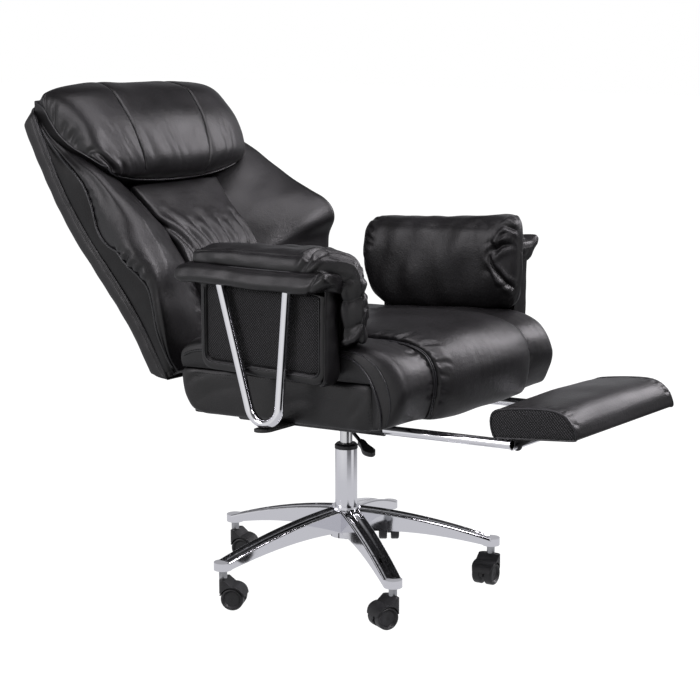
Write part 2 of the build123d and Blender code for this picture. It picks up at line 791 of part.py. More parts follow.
with BuildPart() as footrest_sleeves:
    for side in (-1, 1):
        add(tube_along(
            side * rail_offset, sleeve_rear, sleeve_front, sleeve_diameter, rail_diameter + 2 * running_fit
        ))
        for saddle_at in (sleeve_rear + saddle_length / 2, sleeve_front - saddle_length / 2):
            with BuildSketch(seat_floor(-seat_gap)):
                with Locations((side * rail_offset, -saddle_at)):
                    Rectangle(sleeve_diameter + 16, saddle_length)
            extrude(amount=-(rail_drop - sleeve_diameter / 2 + 2 - seat_gap))
finish(footrest_sleeves, "footrest_sleeves")

with BuildPart() as footrest_rails:
    for side in (-1, 1):
        add(tube_along(side * rail_offset, rail_rear, rail_end, rail_diameter, rail_diameter - 2 * rail_wall))
    with BuildSketch(seat_plane(-(rail_offset - rail_diameter / 2 + rail_wall))):
        with Locations(footrest_axis):
            Circle(cross_tube_diameter / 2)
            Circle(cross_tube_diameter / 2 - rail_wall, mode=Mode.SUBTRACT)
    extrude(amount=-2 * (rail_offset - rail_diameter / 2 + rail_wall))
finish(footrest_rails, "footrest_rails")


def pad_floor(along):
    """Height of the pad's underside at a distance forward of the lift axis."""
    return rail_height + rail_diameter / 2 + seat_gap + (along - pad_rear) * tan(radians(pad_rise))


def pad_outline(crown):
    """Side outline of the footrest pad with its rounded rear and its sloping nose."""
    low, front = pad_floor(pad_rear), pad_floor(pad_front)
    with BuildSketch(seat_plane(0)) as outline:
        with BuildLine():
            skin = Spline(
                (pad_rear + 6, low), (pad_rear, low + pad_height * 0.5),
                (pad_rear + 26, low + pad_height * 0.93 + crown * 0.6),
                ((pad_rear + pad_front) / 2, low + pad_height + crown),
                (pad_front - 46, low + pad_height * 0.96 + crown * 0.8),
                (pad_front - 10, low + pad_height * 0.62), (pad_front, front),
            )
            Line(skin @ 1, skin @ 0)
        make_face()
    return outline.sketch.faces()[0]


with BuildPart() as footrest_board:
    with BuildSketch(seat_plane(0)):
        with BuildLine():
            rear_at, front_at = pad_rear + pad_board_margin, pad_front - pad_board_margin
            Polyline(
                (rear_at, pad_floor(rear_at)), (front_at, pad_floor(front_at)),
                (front_at, pad_floor(front_at) + pad_board_thickness),
                (rear_at, pad_floor(rear_at) + pad_board_thickness), close=True,
            )
        make_face()
    extrude(amount=pad_half_width - pad_board_margin, both=True)
finish(footrest_board, "footrest_board")

with BuildPart() as footrest_pad:
    loft(sections=[
        pad_outline(-6).moved(Location((-pad_half_width, 0, 0))), pad_outline(4),
        pad_outline(-6).moved(Location((pad_half_width, 0, 0))),
    ])
    with BuildSketch(seat_plane(0)):
        with BuildLine():
            rear_at = pad_rear + pad_board_margin - seat_gap
            front_at = pad_front - pad_board_margin + seat_gap
            Polyline(
                (rear_at, pad_floor(rear_at) - 2), (front_at, pad_floor(front_at) - 2),
                (front_at, pad_floor(front_at) + pad_board_thickness + seat_gap),
                (rear_at, pad_floor(rear_at) + pad_board_thickness + seat_gap), close=True,
            )
        make_face()
    extrude(amount=pad_half_width - pad_board_margin + seat_gap, both=True, mode=Mode.SUBTRACT)
finish(footrest_pad, "footrest_pad")

ear_radius = cross_tube_diameter / 2 + 4
with BuildPart() as footrest_hinges:
    for side in (-1, 1):
        with BuildSketch(seat_plane(side * ear_offset)):
            with Locations(footrest_axis):
                Circle(ear_radius)
            with BuildLine():
                rear_at, front_at = footrest_hinge_at - ear_radius, footrest_hinge_at + ear_reach
                Polyline(
                    (rear_at, footrest_axis[1]), (rear_at, pad_floor(rear_at) - seat_gap),
                    (front_at, pad_floor(front_at) - seat_gap),
                    (front_at, pad_floor(front_at) - ear_thickness),
                    (footrest_hinge_at + ear_radius, footrest_axis[1]), close=True,
                )
            make_face()
            with Locations(footrest_axis):
                Circle(cross_tube_diameter / 2 + running_fit, mode=Mode.SUBTRACT)
        extrude(amount=ear_thickness / 2, both=True)
finish(footrest_hinges, "footrest_hinges")

# ---------------------------------------------------------------- back
def rear_line(s):
    """How far forward the back's rear face lies at s: one wave, forward at the lumbar."""
    return lumbar_mean + lumbar_depth * cos(2 * pi * (s - lumbar_peak) / lumbar_period)


def padding_floor(s):
    """How far forward the plywood's front face lies at s."""
    return rear_line(s) + shell_thickness + seat_gap + back_board_thickness


def curve_points(first, last, offset):
    """Points of a line that follows the rear face at an offset, from s = first to s = last."""
    stations = [first + (last - first) * step / 12 for step in range(13)]
    return [(s, rear_line(s) + offset) for s in stations]


with BuildPart() as back_shell:
    with BuildSketch(back_plane(0)):
        with BuildLine():
            rear = Spline(*curve_points(0, shell_length, 0))
            front = Spline(*curve_points(0, shell_length - 4, shell_thickness))
            Line(rear @ 1, front @ 1)
            Polyline(rear @ 0, (-shell_foot_drop, rear_line(0) + shell_thickness), front @ 0)
        make_face()
    extrude(amount=back_half_width, both=True)
    fillet(back_shell.edges().filter_by(Axis.X).group_by(Axis.Z)[-1], shell_top_round)
finish(back_shell, "back_shell")

with BuildPart() as back_board:
    with BuildSketch(back_plane(0)):
        with BuildLine():
            rear = Spline(*curve_points(back_board_bottom, back_board_top, shell_thickness + seat_gap))
            front = Spline(*curve_points(
                back_board_bottom, back_board_top, shell_thickness + seat_gap + back_board_thickness))
            Line(rear @ 1, front @ 1)
            Line(rear @ 0, front @ 0)
        make_face()
    extrude(amount=back_board_half_width, both=True)
finish(back_board, "back_board")

with BuildPart() as back_centre_cushion:
    with BuildSketch(back_plane(0)):
        with BuildLine():
            rear = Spline(*curve_points(
                centre_bottom, centre_top, shell_thickness + back_board_thickness + seat_gap + soft_gap))
            front = Spline(
                (centre_bottom, centre_lumbar_depth - 64),
                (centre_bottom + 30, centre_lumbar_depth - 22),
                (lumbar_peak - 30, centre_lumbar_depth),
                (lumbar_peak + 50, centre_lumbar_depth - 2),
                ((lumbar_peak + centre_top) / 2, (centre_lumbar_depth + centre_top_depth) / 2),
                (centre_top, centre_top_depth),
            )
            Line(rear @ 1, front @ 1)
            Line(rear @ 0, front @ 0)
        make_face()
    extrude(amount=centre_half_width, both=True)
    fillet(back_centre_cushion.faces().filter_by(Axis.X).edges().group_by(Axis.Z)[-1], 2)
finish(back_centre_cushion, "back_centre_cushion")


def wing_outline(s, inner, middle, front, piping):
    """Cross-section of a back wing: low beside the centre cushion, full at its outer front edge."""
    floor = padding_floor(s) + 2 * seat_gap
    with BuildSketch(back_section(s)) as outline:
        with BuildLine():
            skin = Spline(
                (-wing_inner, floor + inner), (-wing_inner - 58, middle), (-wing_outer + 34, front),
                (-wing_outer, front - (front - piping) * 0.5), (-wing_outer + 10, piping),
                (-back_board_half_width - 12, floor),
            )
            Polyline(skin @ 1, (-wing_inner, floor), skin @ 0)
        make_face()
    return outline.sketch.faces()[0]


with BuildPart() as wing:
    loft(sections=[
        wing_outline(wing_bottom, 16, 88, 90, 76), wing_outline(70, 58, 140, 146, 96),
        wing_outline(150, 60, 168, 204, 120), wing_outline(236, 58, 196, 258, 108),
        wing_outline(330, 56, 172, 208, 66), wing_outline(wing_top, 56, 132, 160, 72),
    ])
finish(wing, "back_wing_right")
with BuildPart() as left_wing:
    add(mirror(wing.part, about=Plane.YZ, mode=Mode.PRIVATE))
finish(left_wing, "back_wing_left")


def headrest_outline(x, bottom, front, top):
    """Side outline of the headrest roll at x."""
    floor = shell_thickness + back_board_thickness + 3 * seat_gap
    low, high = rear_line(bottom) + floor, rear_line(top - 14) + floor
    with BuildSketch(back_plane(x)) as outline:
        with BuildLine():
            skin = Spline(
                (bottom, low), (bottom + 4, low + (front - low) * 0.62), (bottom + 60, front - 6),
                ((bottom + top) / 2, front), (top - 62, front - (front - high) * 0.16),
                (top - 8, high + (front - high) * 0.45), (top - 14, high),
            )
            Line(skin @ 1, skin @ 0)
        make_face()
    return outline.sketch.faces()[0]


headrest_stations = [
    (headrest_half_width, headrest_bottom + 52, headrest_front - 84, headrest_top - 14),
    (headrest_half_width - 34, headrest_bottom + 40, headrest_front - 34, headrest_top - 4),
    (142, headrest_bottom + 34, headrest_front - 8, headrest_top),
]
with BuildPart() as headrest:
    loft(sections=(
        [headrest_outline(-x, *sizes) for x, *sizes in headrest_stations]
        + [headrest_outline(0, headrest_bottom, headrest_front, headrest_top)]
        + [headrest_outline(x, *sizes) for x, *sizes in reversed(headrest_stations)]
    ))
finish(headrest, "headrest")

# ---------------------------------------------------------------- recline hinge
seat_plate_offset = hinge_plate_offset + hinge_plate_thickness + 2 * seat_gap
eye_spot = (hinge_y, hinge_z)
flange_rear, flange_front = -seat_rear - board_margin, -seat_rear - seat_plate_reach
plate_rear, plate_front = hinge_y + hinge_eye_radius - 2, hinge_y - hinge_eye_radius + 2
flange_slope = tan(radians(seat_tilt))
with BuildPart() as seat_hinge_plates:
    for side in (-1, 1):
        with BuildSketch(side_plane(side * seat_plate_offset)):
            with Locations(eye_spot):
                Circle(hinge_eye_radius)
            with BuildLine():
                Polyline(
                    (plate_rear, hinge_z), (plate_rear, seat_underside - seat_plate_drop),
                    (flange_front, seat_underside - flange_front * flange_slope - hinge_plate_thickness),
                    (flange_front, seat_underside - flange_front * flange_slope - 2 * seat_gap),
                    (plate_front, seat_underside - plate_front * flange_slope - 2 * seat_gap),
                    (plate_front, hinge_z), close=True,
                )
            make_face()
            with Locations(eye_spot):
                Circle(hinge_pin_diameter / 2 + running_fit, mode=Mode.SUBTRACT)
        extrude(amount=hinge_plate_thickness / 2, both=True)
        with BuildSketch(seat_floor(-seat_gap)):
            flange_x = side * (seat_plate_offset + seat_plate_width / 2)
            with Locations((flange_x, (flange_rear + flange_front) / 2)):
                Rectangle(seat_plate_width + hinge_plate_thickness, flange_rear - flange_front)
        extrude(amount=-hinge_plate_thickness)
finish(seat_hinge_plates, "seat_hinge_plates")

lean = radians(recline_angle)
eye_s = (hinge_y - back_foot_y) * sin(lean) + (hinge_z - back_foot_z) * cos(lean)
eye_t = -(hinge_y - back_foot_y) * cos(lean) + (hinge_z - back_foot_z) * sin(lean)
with BuildPart() as back_hinge_plates:
    for side in (-1, 1):
        with BuildSketch(back_plane(side * hinge_plate_offset)):
            with Locations((eye_s, eye_t)):
                Circle(hinge_eye_radius)
            with BuildLine():
                low_s, high_s = back_board_bottom + 4, back_board_bottom + 104
                foot_offset = shell_thickness + back_board_thickness + 3 * seat_gap
                foot = Spline(*curve_points(low_s, high_s, foot_offset))
                Polyline(
                    foot @ 1, (high_s, padding_floor(high_s) + 14), (eye_s + 6, eye_t + hinge_eye_radius - 1),
                    (eye_s - hinge_eye_radius + 3, eye_t - 4), foot @ 0,
                )
            make_face()
            with Locations((eye_s, eye_t)):
                Circle(hinge_pin_diameter / 2 + running_fit, mode=Mode.SUBTRACT)
        extrude(amount=hinge_plate_thickness / 2, both=True)
finish(back_hinge_plates, "back_hinge_plates")

with BuildPart() as hinge_pins:
    pin_inner = hinge_plate_offset - hinge_plate_thickness / 2 - seat_gap
    pin_outer = seat_plate_offset + hinge_plate_thickness / 2 + seat_gap
    for side in (-1, 1):
        with BuildSketch(side_plane(side * pin_inner)):
            with Locations(eye_spot):
                Circle(hinge_pin_diameter / 2)
        extrude(amount=side * (pin_outer - pin_inner))
        for head_at, thickness in ((pin_inner, -2.2), (pin_outer, 2.2)):
            with BuildSketch(side_plane(side * head_at)):
                with Locations(eye_spot):
                    Circle(hinge_pin_head / 2)
            extrude(amount=side * thickness)
finish(hinge_pins, "hinge_pins")

# ---------------------------------------------------------------- height lever
lever_slope = radians(-lever_drop_angle)
rod_end = (lever_reach - paddle_length + 10, tan(lever_slope) * (lever_reach - paddle_length + 10))
with BuildPart() as height_lever:
    with BuildSketch(lever_plane):
        Circle(lever_hub_diameter / 2)
        Circle(lever_pivot_pin / 2 + running_fit, mode=Mode.SUBTRACT)
    extrude(amount=lever_hub_length / 2, both=True)
    rod_root = Vector(cos(lever_slope), sin(lever_slope), 0) * (lever_hub_diameter / 2 - 1)
    rod_start = lever_plane.from_local_coords(rod_root)
    rod_stop = lever_plane.from_local_coords(Vector(*rod_end, 0))
    with BuildSketch(Plane(origin=rod_start, z_dir=rod_stop - rod_start)):
        Circle(lever_rod_diameter / 2)
    extrude(amount=(rod_stop - rod_start).length)
    paddle_plane = Plane(
        origin=rod_stop, x_dir=rod_stop - rod_start,
        z_dir=(rod_stop - rod_start).cross(lever_plane.z_dir) * -1,
    )
    with BuildSketch(paddle_plane.offset(-paddle_thickness / 2)):
        with BuildLine():
            Spline(
                (-16, 0), (-8, 6.5), (14, 8), (paddle_length * 0.6, paddle_width / 2),
                (paddle_length - 10, paddle_width * 0.42), (paddle_length, 0),
                (paddle_length - 10, -paddle_width * 0.42), (paddle_length * 0.6, -paddle_width / 2),
                (14, -8), (-8, -6.5), periodic=True,
            )
        make_face()
    extrude(amount=paddle_thickness)
finish(height_lever, "height_lever")
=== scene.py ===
"""Looks of the reclining office chair: bonded leather, chrome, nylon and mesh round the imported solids.

Shapes are worked out in millimetres, in the row frame: the chair faces -Y and +X is the sitter's left.
"""
import json
from math import radians

import bmesh
import bpy
import numpy as np
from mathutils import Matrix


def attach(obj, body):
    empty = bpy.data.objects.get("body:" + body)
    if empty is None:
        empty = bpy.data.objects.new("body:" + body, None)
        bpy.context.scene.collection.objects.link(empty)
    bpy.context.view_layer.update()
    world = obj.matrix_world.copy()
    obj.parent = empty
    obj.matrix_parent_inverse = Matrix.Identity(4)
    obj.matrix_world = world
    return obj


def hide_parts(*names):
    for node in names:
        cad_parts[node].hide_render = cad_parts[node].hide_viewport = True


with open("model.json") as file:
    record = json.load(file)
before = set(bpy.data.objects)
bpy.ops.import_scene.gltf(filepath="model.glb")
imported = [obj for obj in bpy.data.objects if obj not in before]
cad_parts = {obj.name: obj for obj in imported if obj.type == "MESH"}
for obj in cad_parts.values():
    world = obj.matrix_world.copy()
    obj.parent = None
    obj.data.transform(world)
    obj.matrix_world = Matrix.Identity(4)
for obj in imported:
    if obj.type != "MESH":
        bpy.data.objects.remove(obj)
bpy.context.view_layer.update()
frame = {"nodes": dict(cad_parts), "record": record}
MM = 0.001
SIDES = {"right": -1, "left": 1}
LEAN, TILT = radians(35.0), radians(2.6)
BACK_FOOT_Y, BACK_FOOT_Z, SEAT_UNDERSIDE = 348, 471, 427


# ---------------------------------------------------------------- frames of the back and of the seat
def spread(*values):
    """The values as float arrays of one common shape."""
    return np.broadcast_arrays(*(np.asarray(value, float) for value in values))


def from_back(x, s, t):
    """Point with s running up the reclined back and t forward from its rear face."""
    x, s, t = spread(x, s, t)
    return np.stack([x, BACK_FOOT_Y + s * np.sin(LEAN) - t * np.cos(LEAN),
                     BACK_FOOT_Z + s * np.cos(LEAN) + t * np.sin(LEAN)], -1)


def from_seat(x, a, h):
    """Point with a running forward along the tilted seat board and h up from its underside."""
    x, a, h = spread(x, a, h)
    return np.stack([x, h * np.sin(TILT) - a * np.cos(TILT),
                     SEAT_UNDERSIDE + a * np.sin(TILT) + h * np.cos(TILT)], -1)


def rear_line(s):
    """How far forward the back's rear face lies at s: one wave of 700 mm, forward at the lumbar."""
    return -9 + 16 * np.cos(2 * np.pi * (np.asarray(s, float) - 90) / 700)


# ---------------------------------------------------------------- curves and grids
def spline(points, count, closed=False):
    """Catmull-Rom curve through points (..., k, n), at evenly spaced values of its parameter."""
    points = np.asarray(points, float)
    if closed:
        ext = np.concatenate([points[..., -1:, :], points, points[..., :2, :]], -2)
        spans = points.shape[-2]
    else:
        first, last = points[..., :1, :], points[..., -1:, :]
        ext = np.concatenate([2 * first - points[..., 1:2, :], points, 2 * last - points[..., -2:-1, :]], -2)
        spans = points.shape[-2] - 1
    at = np.linspace(0, spans, count, endpoint=not closed)
    i = np.minimum(at.astype(int), spans - 1)
    f = (at - i)[:, None]
    a, b, c, d = (ext[..., i + k, :] for k in range(4))
    return 0.5 * (2 * b + (c - a) * f + (2 * a - 5 * b + 4 * c - d) * f ** 2
                  + (3 * b - a - 3 * c + d) * f ** 3)


def lofted(sections, rows, closed=False):
    """Surface through sections (m, k, 3): a spline through each point of the sections in turn."""
    return spline(np.asarray(sections, float).swapaxes(0, 1), rows, closed).swapaxes(0, 1)


def net(sections, rows, columns):
    """Surface through closed sections: lofted from one to the next, then a closed spline round each row."""
    return spline(lofted(sections, rows), columns, closed=True)


def even(curve, count, closed=False):
    """The same curve, with its points at equal distances along it."""
    path = np.concatenate([curve, curve[:1]]) if closed else curve
    run = np.concatenate([[0], np.cumsum(np.linalg.norm(np.diff(path, axis=0), axis=1))])
    at = np.linspace(0, run[-1], count, endpoint=not closed)
    return np.stack([np.interp(at, run, path[:, k]) for k in range(path.shape[1])], -1)


def grid_normals(points):
    """Unit normals of a grid closed around its rows: the cross product of its two directions, turned to
    point away from each row's middle."""
    across = (np.roll(points, -1, 1) - np.roll(points, 1, 1)) / 2
    normal = np.cross(np.gradient(points, axis=0), across)
    normal /= np.linalg.norm(normal, axis=-1, keepdims=True) + 1e-9
    outward = ((points - points.mean(1, keepdims=True)) * normal).sum()
    return normal if outward > 0 else -normal


def smooth(low, high, value):
    """0 below low, 1 above high, and an easy curve between."""
    f = np.clip((np.asarray(value, float) - low) / (high - low), 0, 1)
    return f * f * (3 - 2 * f)


def bump(centre, width, value):
    """Bell curve of height 1 about centre."""
    return np.exp(-((np.asarray(value, float) - centre) / width) ** 2)


def crease(flat, path, width, depth, swell=0.45):
    """Offset, in mm, of one fold on a surface laid flat as (..., 2): a narrow valley along the path, a soft
    swell on either side of it, both fading to nothing at the path's ends."""
    path = spline(np.asarray(path, float), 9)
    start, step = path[:-1], np.diff(path, axis=0)
    rel = flat[..., None, :] - start
    f = np.clip((rel * step).sum(-1) / (step ** 2).sum(-1), 0, 1)
    gap = np.linalg.norm(rel - f[..., None] * step, axis=-1)
    nearest = gap.argmin(-1)
    gap = np.take_along_axis(gap, nearest[..., None], -1)[..., 0]
    run = (nearest + np.take_along_axis(f, nearest[..., None], -1)[..., 0]) / len(step)
    fade = np.sin(np.pi * np.clip(run, 0.02, 0.98)) ** 0.7
    valley = np.exp(-(gap / width) ** 1.5)
    return depth * fade * (swell * bump(2.4 * width, 1.5 * width, gap) - valley)


def folds(flat, paths, swell=0.45):
    """Sum of several creases, each given as (path, width, depth)."""
    return sum(crease(flat, *path, swell) for path in paths)


def gathers(flat, seam, inward, count, length, width, depth, seed):
    """Short folds that leave a seam where cloth is eased onto it: spaced along the seam with a little
    disorder, each running the way inward(fraction along) says."""
    draw = np.random.default_rng(seed)
    seam = even(spline(np.asarray(seam, float), 60), 200)
    total = np.zeros(flat.shape[:-1])
    for k in range(count):
        f = (k + 0.5 + draw.uniform(-0.3, 0.3)) / count
        root = seam[int(f * 199)]
        way = np.asarray(inward(f), float)
        way = way / np.linalg.norm(way)
        side = np.array([-way[1], way[0]])
        reach = length * draw.uniform(0.55, 1.25)
        bend = draw.uniform(-0.18, 0.18) * reach
        path = [root - way * 4, root + way * reach * 0.5 + side * bend * 0.6,
                root + way * reach + side * bend]
        total += crease(flat, path, width * draw.uniform(0.75, 1.3), depth * draw.uniform(0.5, 1.2))
    return total


def ripple(points, size, height, seed):
    """Slow unevenness of a stuffed skin: ten sine waves in random directions, about size mm long."""
    draw = np.random.default_rng(seed)
    total = np.zeros(points.shape[:-1])
    for _ in range(10):
        way = draw.normal(size=3)
        way *= 2 * np.pi / (size * draw.uniform(0.7, 1.6)) / np.linalg.norm(way)
        total += np.sin(points @ way + draw.uniform(0, 6.28))
    return total * height / 3.2


# ---------------------------------------------------------------- meshes
def add_piece(name, vertices, faces, body, slot, replaces=()):
    """Put a mesh, given in millimetres, in the scene and ride it on a body."""
    mesh = bpy.data.meshes.new(name)
    mesh.from_pydata((np.asarray(vertices) * MM).tolist(), [], faces)
    work = bmesh.new()
    work.from_mesh(mesh)
    bmesh.ops.recalc_face_normals(work, faces=work.faces)
    work.to_mesh(mesh)
    work.free()
    mesh.polygons.foreach_set("use_smooth", np.ones(len(mesh.polygons), bool))
    piece = bpy.data.objects.new(name, mesh)
    bpy.context.scene.collection.objects.link(piece)
    piece.data.materials.append(FINISH[slot])
    if replaces:
        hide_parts(*replaces)
    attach(piece, body)
    return piece


def skin(points, start=0, lid="fan"):
    """Vertices and faces of a grid closed around its rows: quads between neighbours. Its end rows are filled
    by a fan, or by a ladder of quads from each point to the one that faces it across the row; "ring" joins
    the last row to the first."""
    rows, columns = points.shape[:2]
    index = np.arange(rows * columns).reshape(rows, columns) + start
    if lid == "ring":
        index = np.concatenate([index, index[:1]])
    following = np.roll(index, -1, 1)
    quads = np.stack([index[:-1], index[1:], following[1:], following[:-1]], -1).reshape(-1, 4)
    vertices, faces = points.reshape(-1, 3), quads.tolist()
    if lid == "fan":
        vertices = np.concatenate([vertices, points[:1].mean(1), points[-1:].mean(1)])
        pole = np.full(columns, start + rows * columns)
        faces += np.stack([index[0], following[0], pole], -1).tolist()
        faces += np.stack([following[-1], index[-1], pole + 1], -1).tolist()
    if lid == "ladder":
        for row in (index[0], index[-1]):
            near, far = row[:columns // 2], row[::-1][:columns // 2]
            faces += np.stack([near[:-1], near[1:], far[1:], far[:-1]], -1).tolist()
    return vertices, faces


def tube(path, radius, sides=8):
    """Round cord along a path: circles square to it, turned as little as possible from one to the next."""
    path = np.asarray(path, float)
    way = np.gradient(path, axis=0)
    way /= np.linalg.norm(way, axis=1, keepdims=True) + 1e-9
    normal = np.cross(way, np.array([0.31, 0.17, 0.94]))
    normal /= np.linalg.norm(normal, axis=1, keepdims=True) + 1e-9
    other = np.cross(way, normal)
    turn = np.linspace(0, 2 * np.pi, sides, endpoint=False)
    radius = np.broadcast_to(np.asarray(radius, float), (len(path),))
    ring = normal[:, None] * np.cos(turn)[:, None] + other[:, None] * np.sin(turn)[:, None]
    return path[:, None] + ring * radius[:, None, None]


def joined(grids):
    """One vertex list and face list from several closed grids."""
    vertices, faces, start = [], [], 0
    for grid in grids:
        more, quads = skin(grid, start)
        vertices.append(more)
        faces += quads
        start += len(more)
    return np.concatenate(vertices), faces


def hex_colour(code):
    """Linear RGBA of an sRGB hex colour."""
    value = np.array([int(code[k:k + 2], 16) for k in (1, 3, 5)]) / 255
    linear = np.where(value <= 0.04045, value / 12.92, ((value + 0.055) / 1.055) ** 2.4)
    return (*linear.tolist(), 1.0)


def add_node(tree, kind, settings=(), inputs=(), links=(), stops=(), to=()):
    """Add one node: its settings, its constant inputs, links from (node, output) to its inputs, a colour
    ramp's (position, hex colour) stops, and the (node, input) that its first output goes to."""
    node = tree.nodes.new(kind)
    for key, value in dict(settings).items():
        setattr(node, key, value)
    for key, value in dict(inputs).items():
        node.inputs[key].default_value = value
    for key, (source, output) in dict(links).items():
        tree.links.new(source.outputs[output], node.inputs[key])
    if stops:
        while len(node.color_ramp.elements) < len(stops):
            node.color_ramp.elements.new(0.5)
        for element, (position, code) in zip(node.color_ramp.elements, stops):
            element.position, element.color = position, hex_colour(code)
    if to:
        tree.links.new(node.outputs[0], to[0].inputs[to[1]])
    return node


def new_finish(name, **sockets):
    """A material with its Principled shader's constants set, and the link that gives a pattern its place on
    the object, in metres."""
    material = bpy.data.materials.new(name)
    material.use_nodes = True
    tree = material.node_tree
    shader = tree.nodes["Principled BSDF"]
    for key, value in sockets.items():
        shader.inputs[key.replace("_", " ")].default_value = value
    return material, tree, shader, {"Vector": (add_node(tree, "ShaderNodeTexCoord"), "Object")}


def dress(tree, shader, tints=(), sheens=(), reliefs=()):
    """Wire patterns into a finish. A tint is a pattern and its colour stops; a sheen is a pattern, the span
    of its values and the roughness at either end; reliefs are patterns with the strength and the height, in
    metres, that each raises the one before it."""
    for pattern, stops in tints:
        add_node(tree, "ShaderNodeValToRGB", links={"Fac": (pattern, 0)}, stops=stops,
                 to=(shader, "Base Color"))
    for pattern, low, high, rough_low, rough_high in sheens:
        add_node(tree, "ShaderNodeMapRange", inputs={
            "From Min": low, "From Max": high, "To Min": rough_low, "To Max": rough_high},
                 links={"Value": (pattern, 0)}, to=(shader, "Roughness"))
    under = {}
    for pattern, strength, height in reliefs:
        raised = add_node(tree, "ShaderNodeBump", inputs={"Strength": strength, "Distance": height},
                          links={"Height": (pattern, 0), **under}, to=(shader, "Normal"))
        under = {"Normal": (raised, "Normal")}


def leather(name, low, high, rough_low, rough_high, grain=0.0026):
    """Bonded leather: a thin polyurethane skin with pebbled grain. Seen as soft, broad highlights that break
    up where the skin is stretched or creased. Real grain is about 1 mm; it is drawn at 2.6 mm to show at
    all."""
    material, tree, shader, here = new_finish(name, IOR=1.48, Specular_IOR_Level=0.45)
    slow = add_node(tree, "ShaderNodeTexNoise", inputs={
        "Scale": 9.0, "Detail": 4.0, "Roughness": 0.6}, links=here)
    cells = add_node(tree, "ShaderNodeTexVoronoi", {"feature": "SMOOTH_F1"},
                     {"Scale": 1 / grain, "Smoothness": 0.6, "Randomness": 1.0}, here)
    wrinkle = add_node(tree, "ShaderNodeTexNoise", inputs={
        "Scale": 70.0, "Detail": 5.0, "Roughness": 0.62, "Distortion": 0.6}, links=here)
    dress(tree, shader, [(slow, [(0.32, low), (0.68, high)])], [(slow, 0.3, 0.7, rough_low, rough_high)],
          [(cells, 0.35, 0.0005), (wrinkle, 0.35, 0.0016)])
    return material


def polished_chrome(name, tint, rough):
    """Decorative chrome plate over polished steel or aluminium: mirror-bright, with a trace of buffing
    waviness."""
    material, tree, shader, here = new_finish(name, Metallic=1.0, Base_Color=hex_colour(tint))
    wave = add_node(tree, "ShaderNodeTexNoise", inputs={"Scale": 24.0, "Detail": 2.0}, links=here)
    dress(tree, shader, (), [(wave, 0.35, 0.7, rough, rough * 1.9)], [(wave, 0.06, 0.002)])
    return material


def moulded_nylon(name, colour, rough, grit=0.0012):
    """Injection-moulded nylon from a spark-textured mould: an even, satin black with fine grit."""
    material, tree, shader, here = new_finish(name, IOR=1.53, Specular_IOR_Level=0.45)
    grain = add_node(tree, "ShaderNodeTexNoise", inputs={"Scale": 1 / grit, "Detail": 3.0}, links=here)
    cloud = add_node(tree, "ShaderNodeTexNoise", inputs={"Scale": 30.0, "Detail": 2.0}, links=here)
    dress(tree, shader, [(cloud, [(0.35, colour), (0.75, "#2b2b2d")])],
          [(grain, 0.0, 1.0, rough - 0.06, rough + 0.08)], [(grain, 0.25, 0.0004)])
    return material


def plain_steel(name, metallic, colour, worn, rough):
    """Formed steel, powder-coated (metallic 0) or zinc-plated (metallic 1), slightly uneven in tone."""
    material, tree, shader, here = new_finish(name, Metallic=metallic)
    cloud = add_node(tree, "ShaderNodeTexNoise", inputs={"Scale": 60.0, "Detail": 4.0}, links=here)
    dress(tree, shader, [(cloud, [(0.3, colour), (0.75, worn)])],
          [(cloud, 0.0, 1.0, rough - 0.08, rough + 0.1)], [(cloud, 0.15, 0.0006)])
    return material


def spacer_mesh(name, pitch=0.0064):
    """Warp-knit spacer mesh: a twill of openings 4.5 mm apart in black yarn. Of two crossing sets of slanting
    ribs, sine waves of the height plus or minus the length, one stands higher, and where both are low is an
    opening. The middle colour stop is the yarn's own black; the light grey on the raised ribs is a painted
    highlight and the near-black in the openings is painted shade."""
    material, tree, shader, here = new_finish(name, Roughness=0.62, Specular_IOR_Level=0.3)
    split = add_node(tree, "ShaderNodeSeparateXYZ", links=here)
    ribs = []
    for slope in (1.0, -1.0):
        lean = add_node(tree, "ShaderNodeMath", {"operation": "MULTIPLY_ADD"}, {1: slope},
                        {0: (split, "Z"), 2: (split, "Y")})
        turn = add_node(tree, "ShaderNodeMath", {"operation": "MULTIPLY"}, {1: 2 * np.pi / pitch},
                        {0: (lean, 0)})
        ribs.append(add_node(tree, "ShaderNodeMath", {"operation": "SINE"}, links={0: (turn, 0)}))
    weave = add_node(tree, "ShaderNodeMath", {"operation": "MULTIPLY_ADD"}, {1: 0.35},
                     {0: (ribs[0], 0), 2: (ribs[1], 0)})
    rib_height = add_node(tree, "ShaderNodeMapRange", inputs={"From Min": -1.2, "From Max": 1.2},
                    links={"Value": (weave, 0)})
    # colour stops: painted shade in the openings, the yarn's own black, painted highlight on the raised ribs
    dress(tree, shader, [(rib_height, [(0.3, "#010101"), (0.6, "#0d0d0e"), (0.9, "#48484a")])], (),
          [(rib_height, 0.9, 0.0015)])
    return material


def birch_ply(name):
    """Birch plywood under a black dust cloth: thin nonwoven cloth with faint bonding dots 4 mm apart."""
    material, tree, shader, here = new_finish(name, Roughness=0.85, Specular_IOR_Level=0.2)
    dots = add_node(tree, "ShaderNodeTexVoronoi", inputs={"Scale": 250.0, "Randomness": 0.15}, links=here)
    dress(tree, shader, [(dots, [(0.15, "#0c0c0c"), (0.5, "#1e1e1f")])], (), [(dots, 0.4, 0.0004)])
    return material


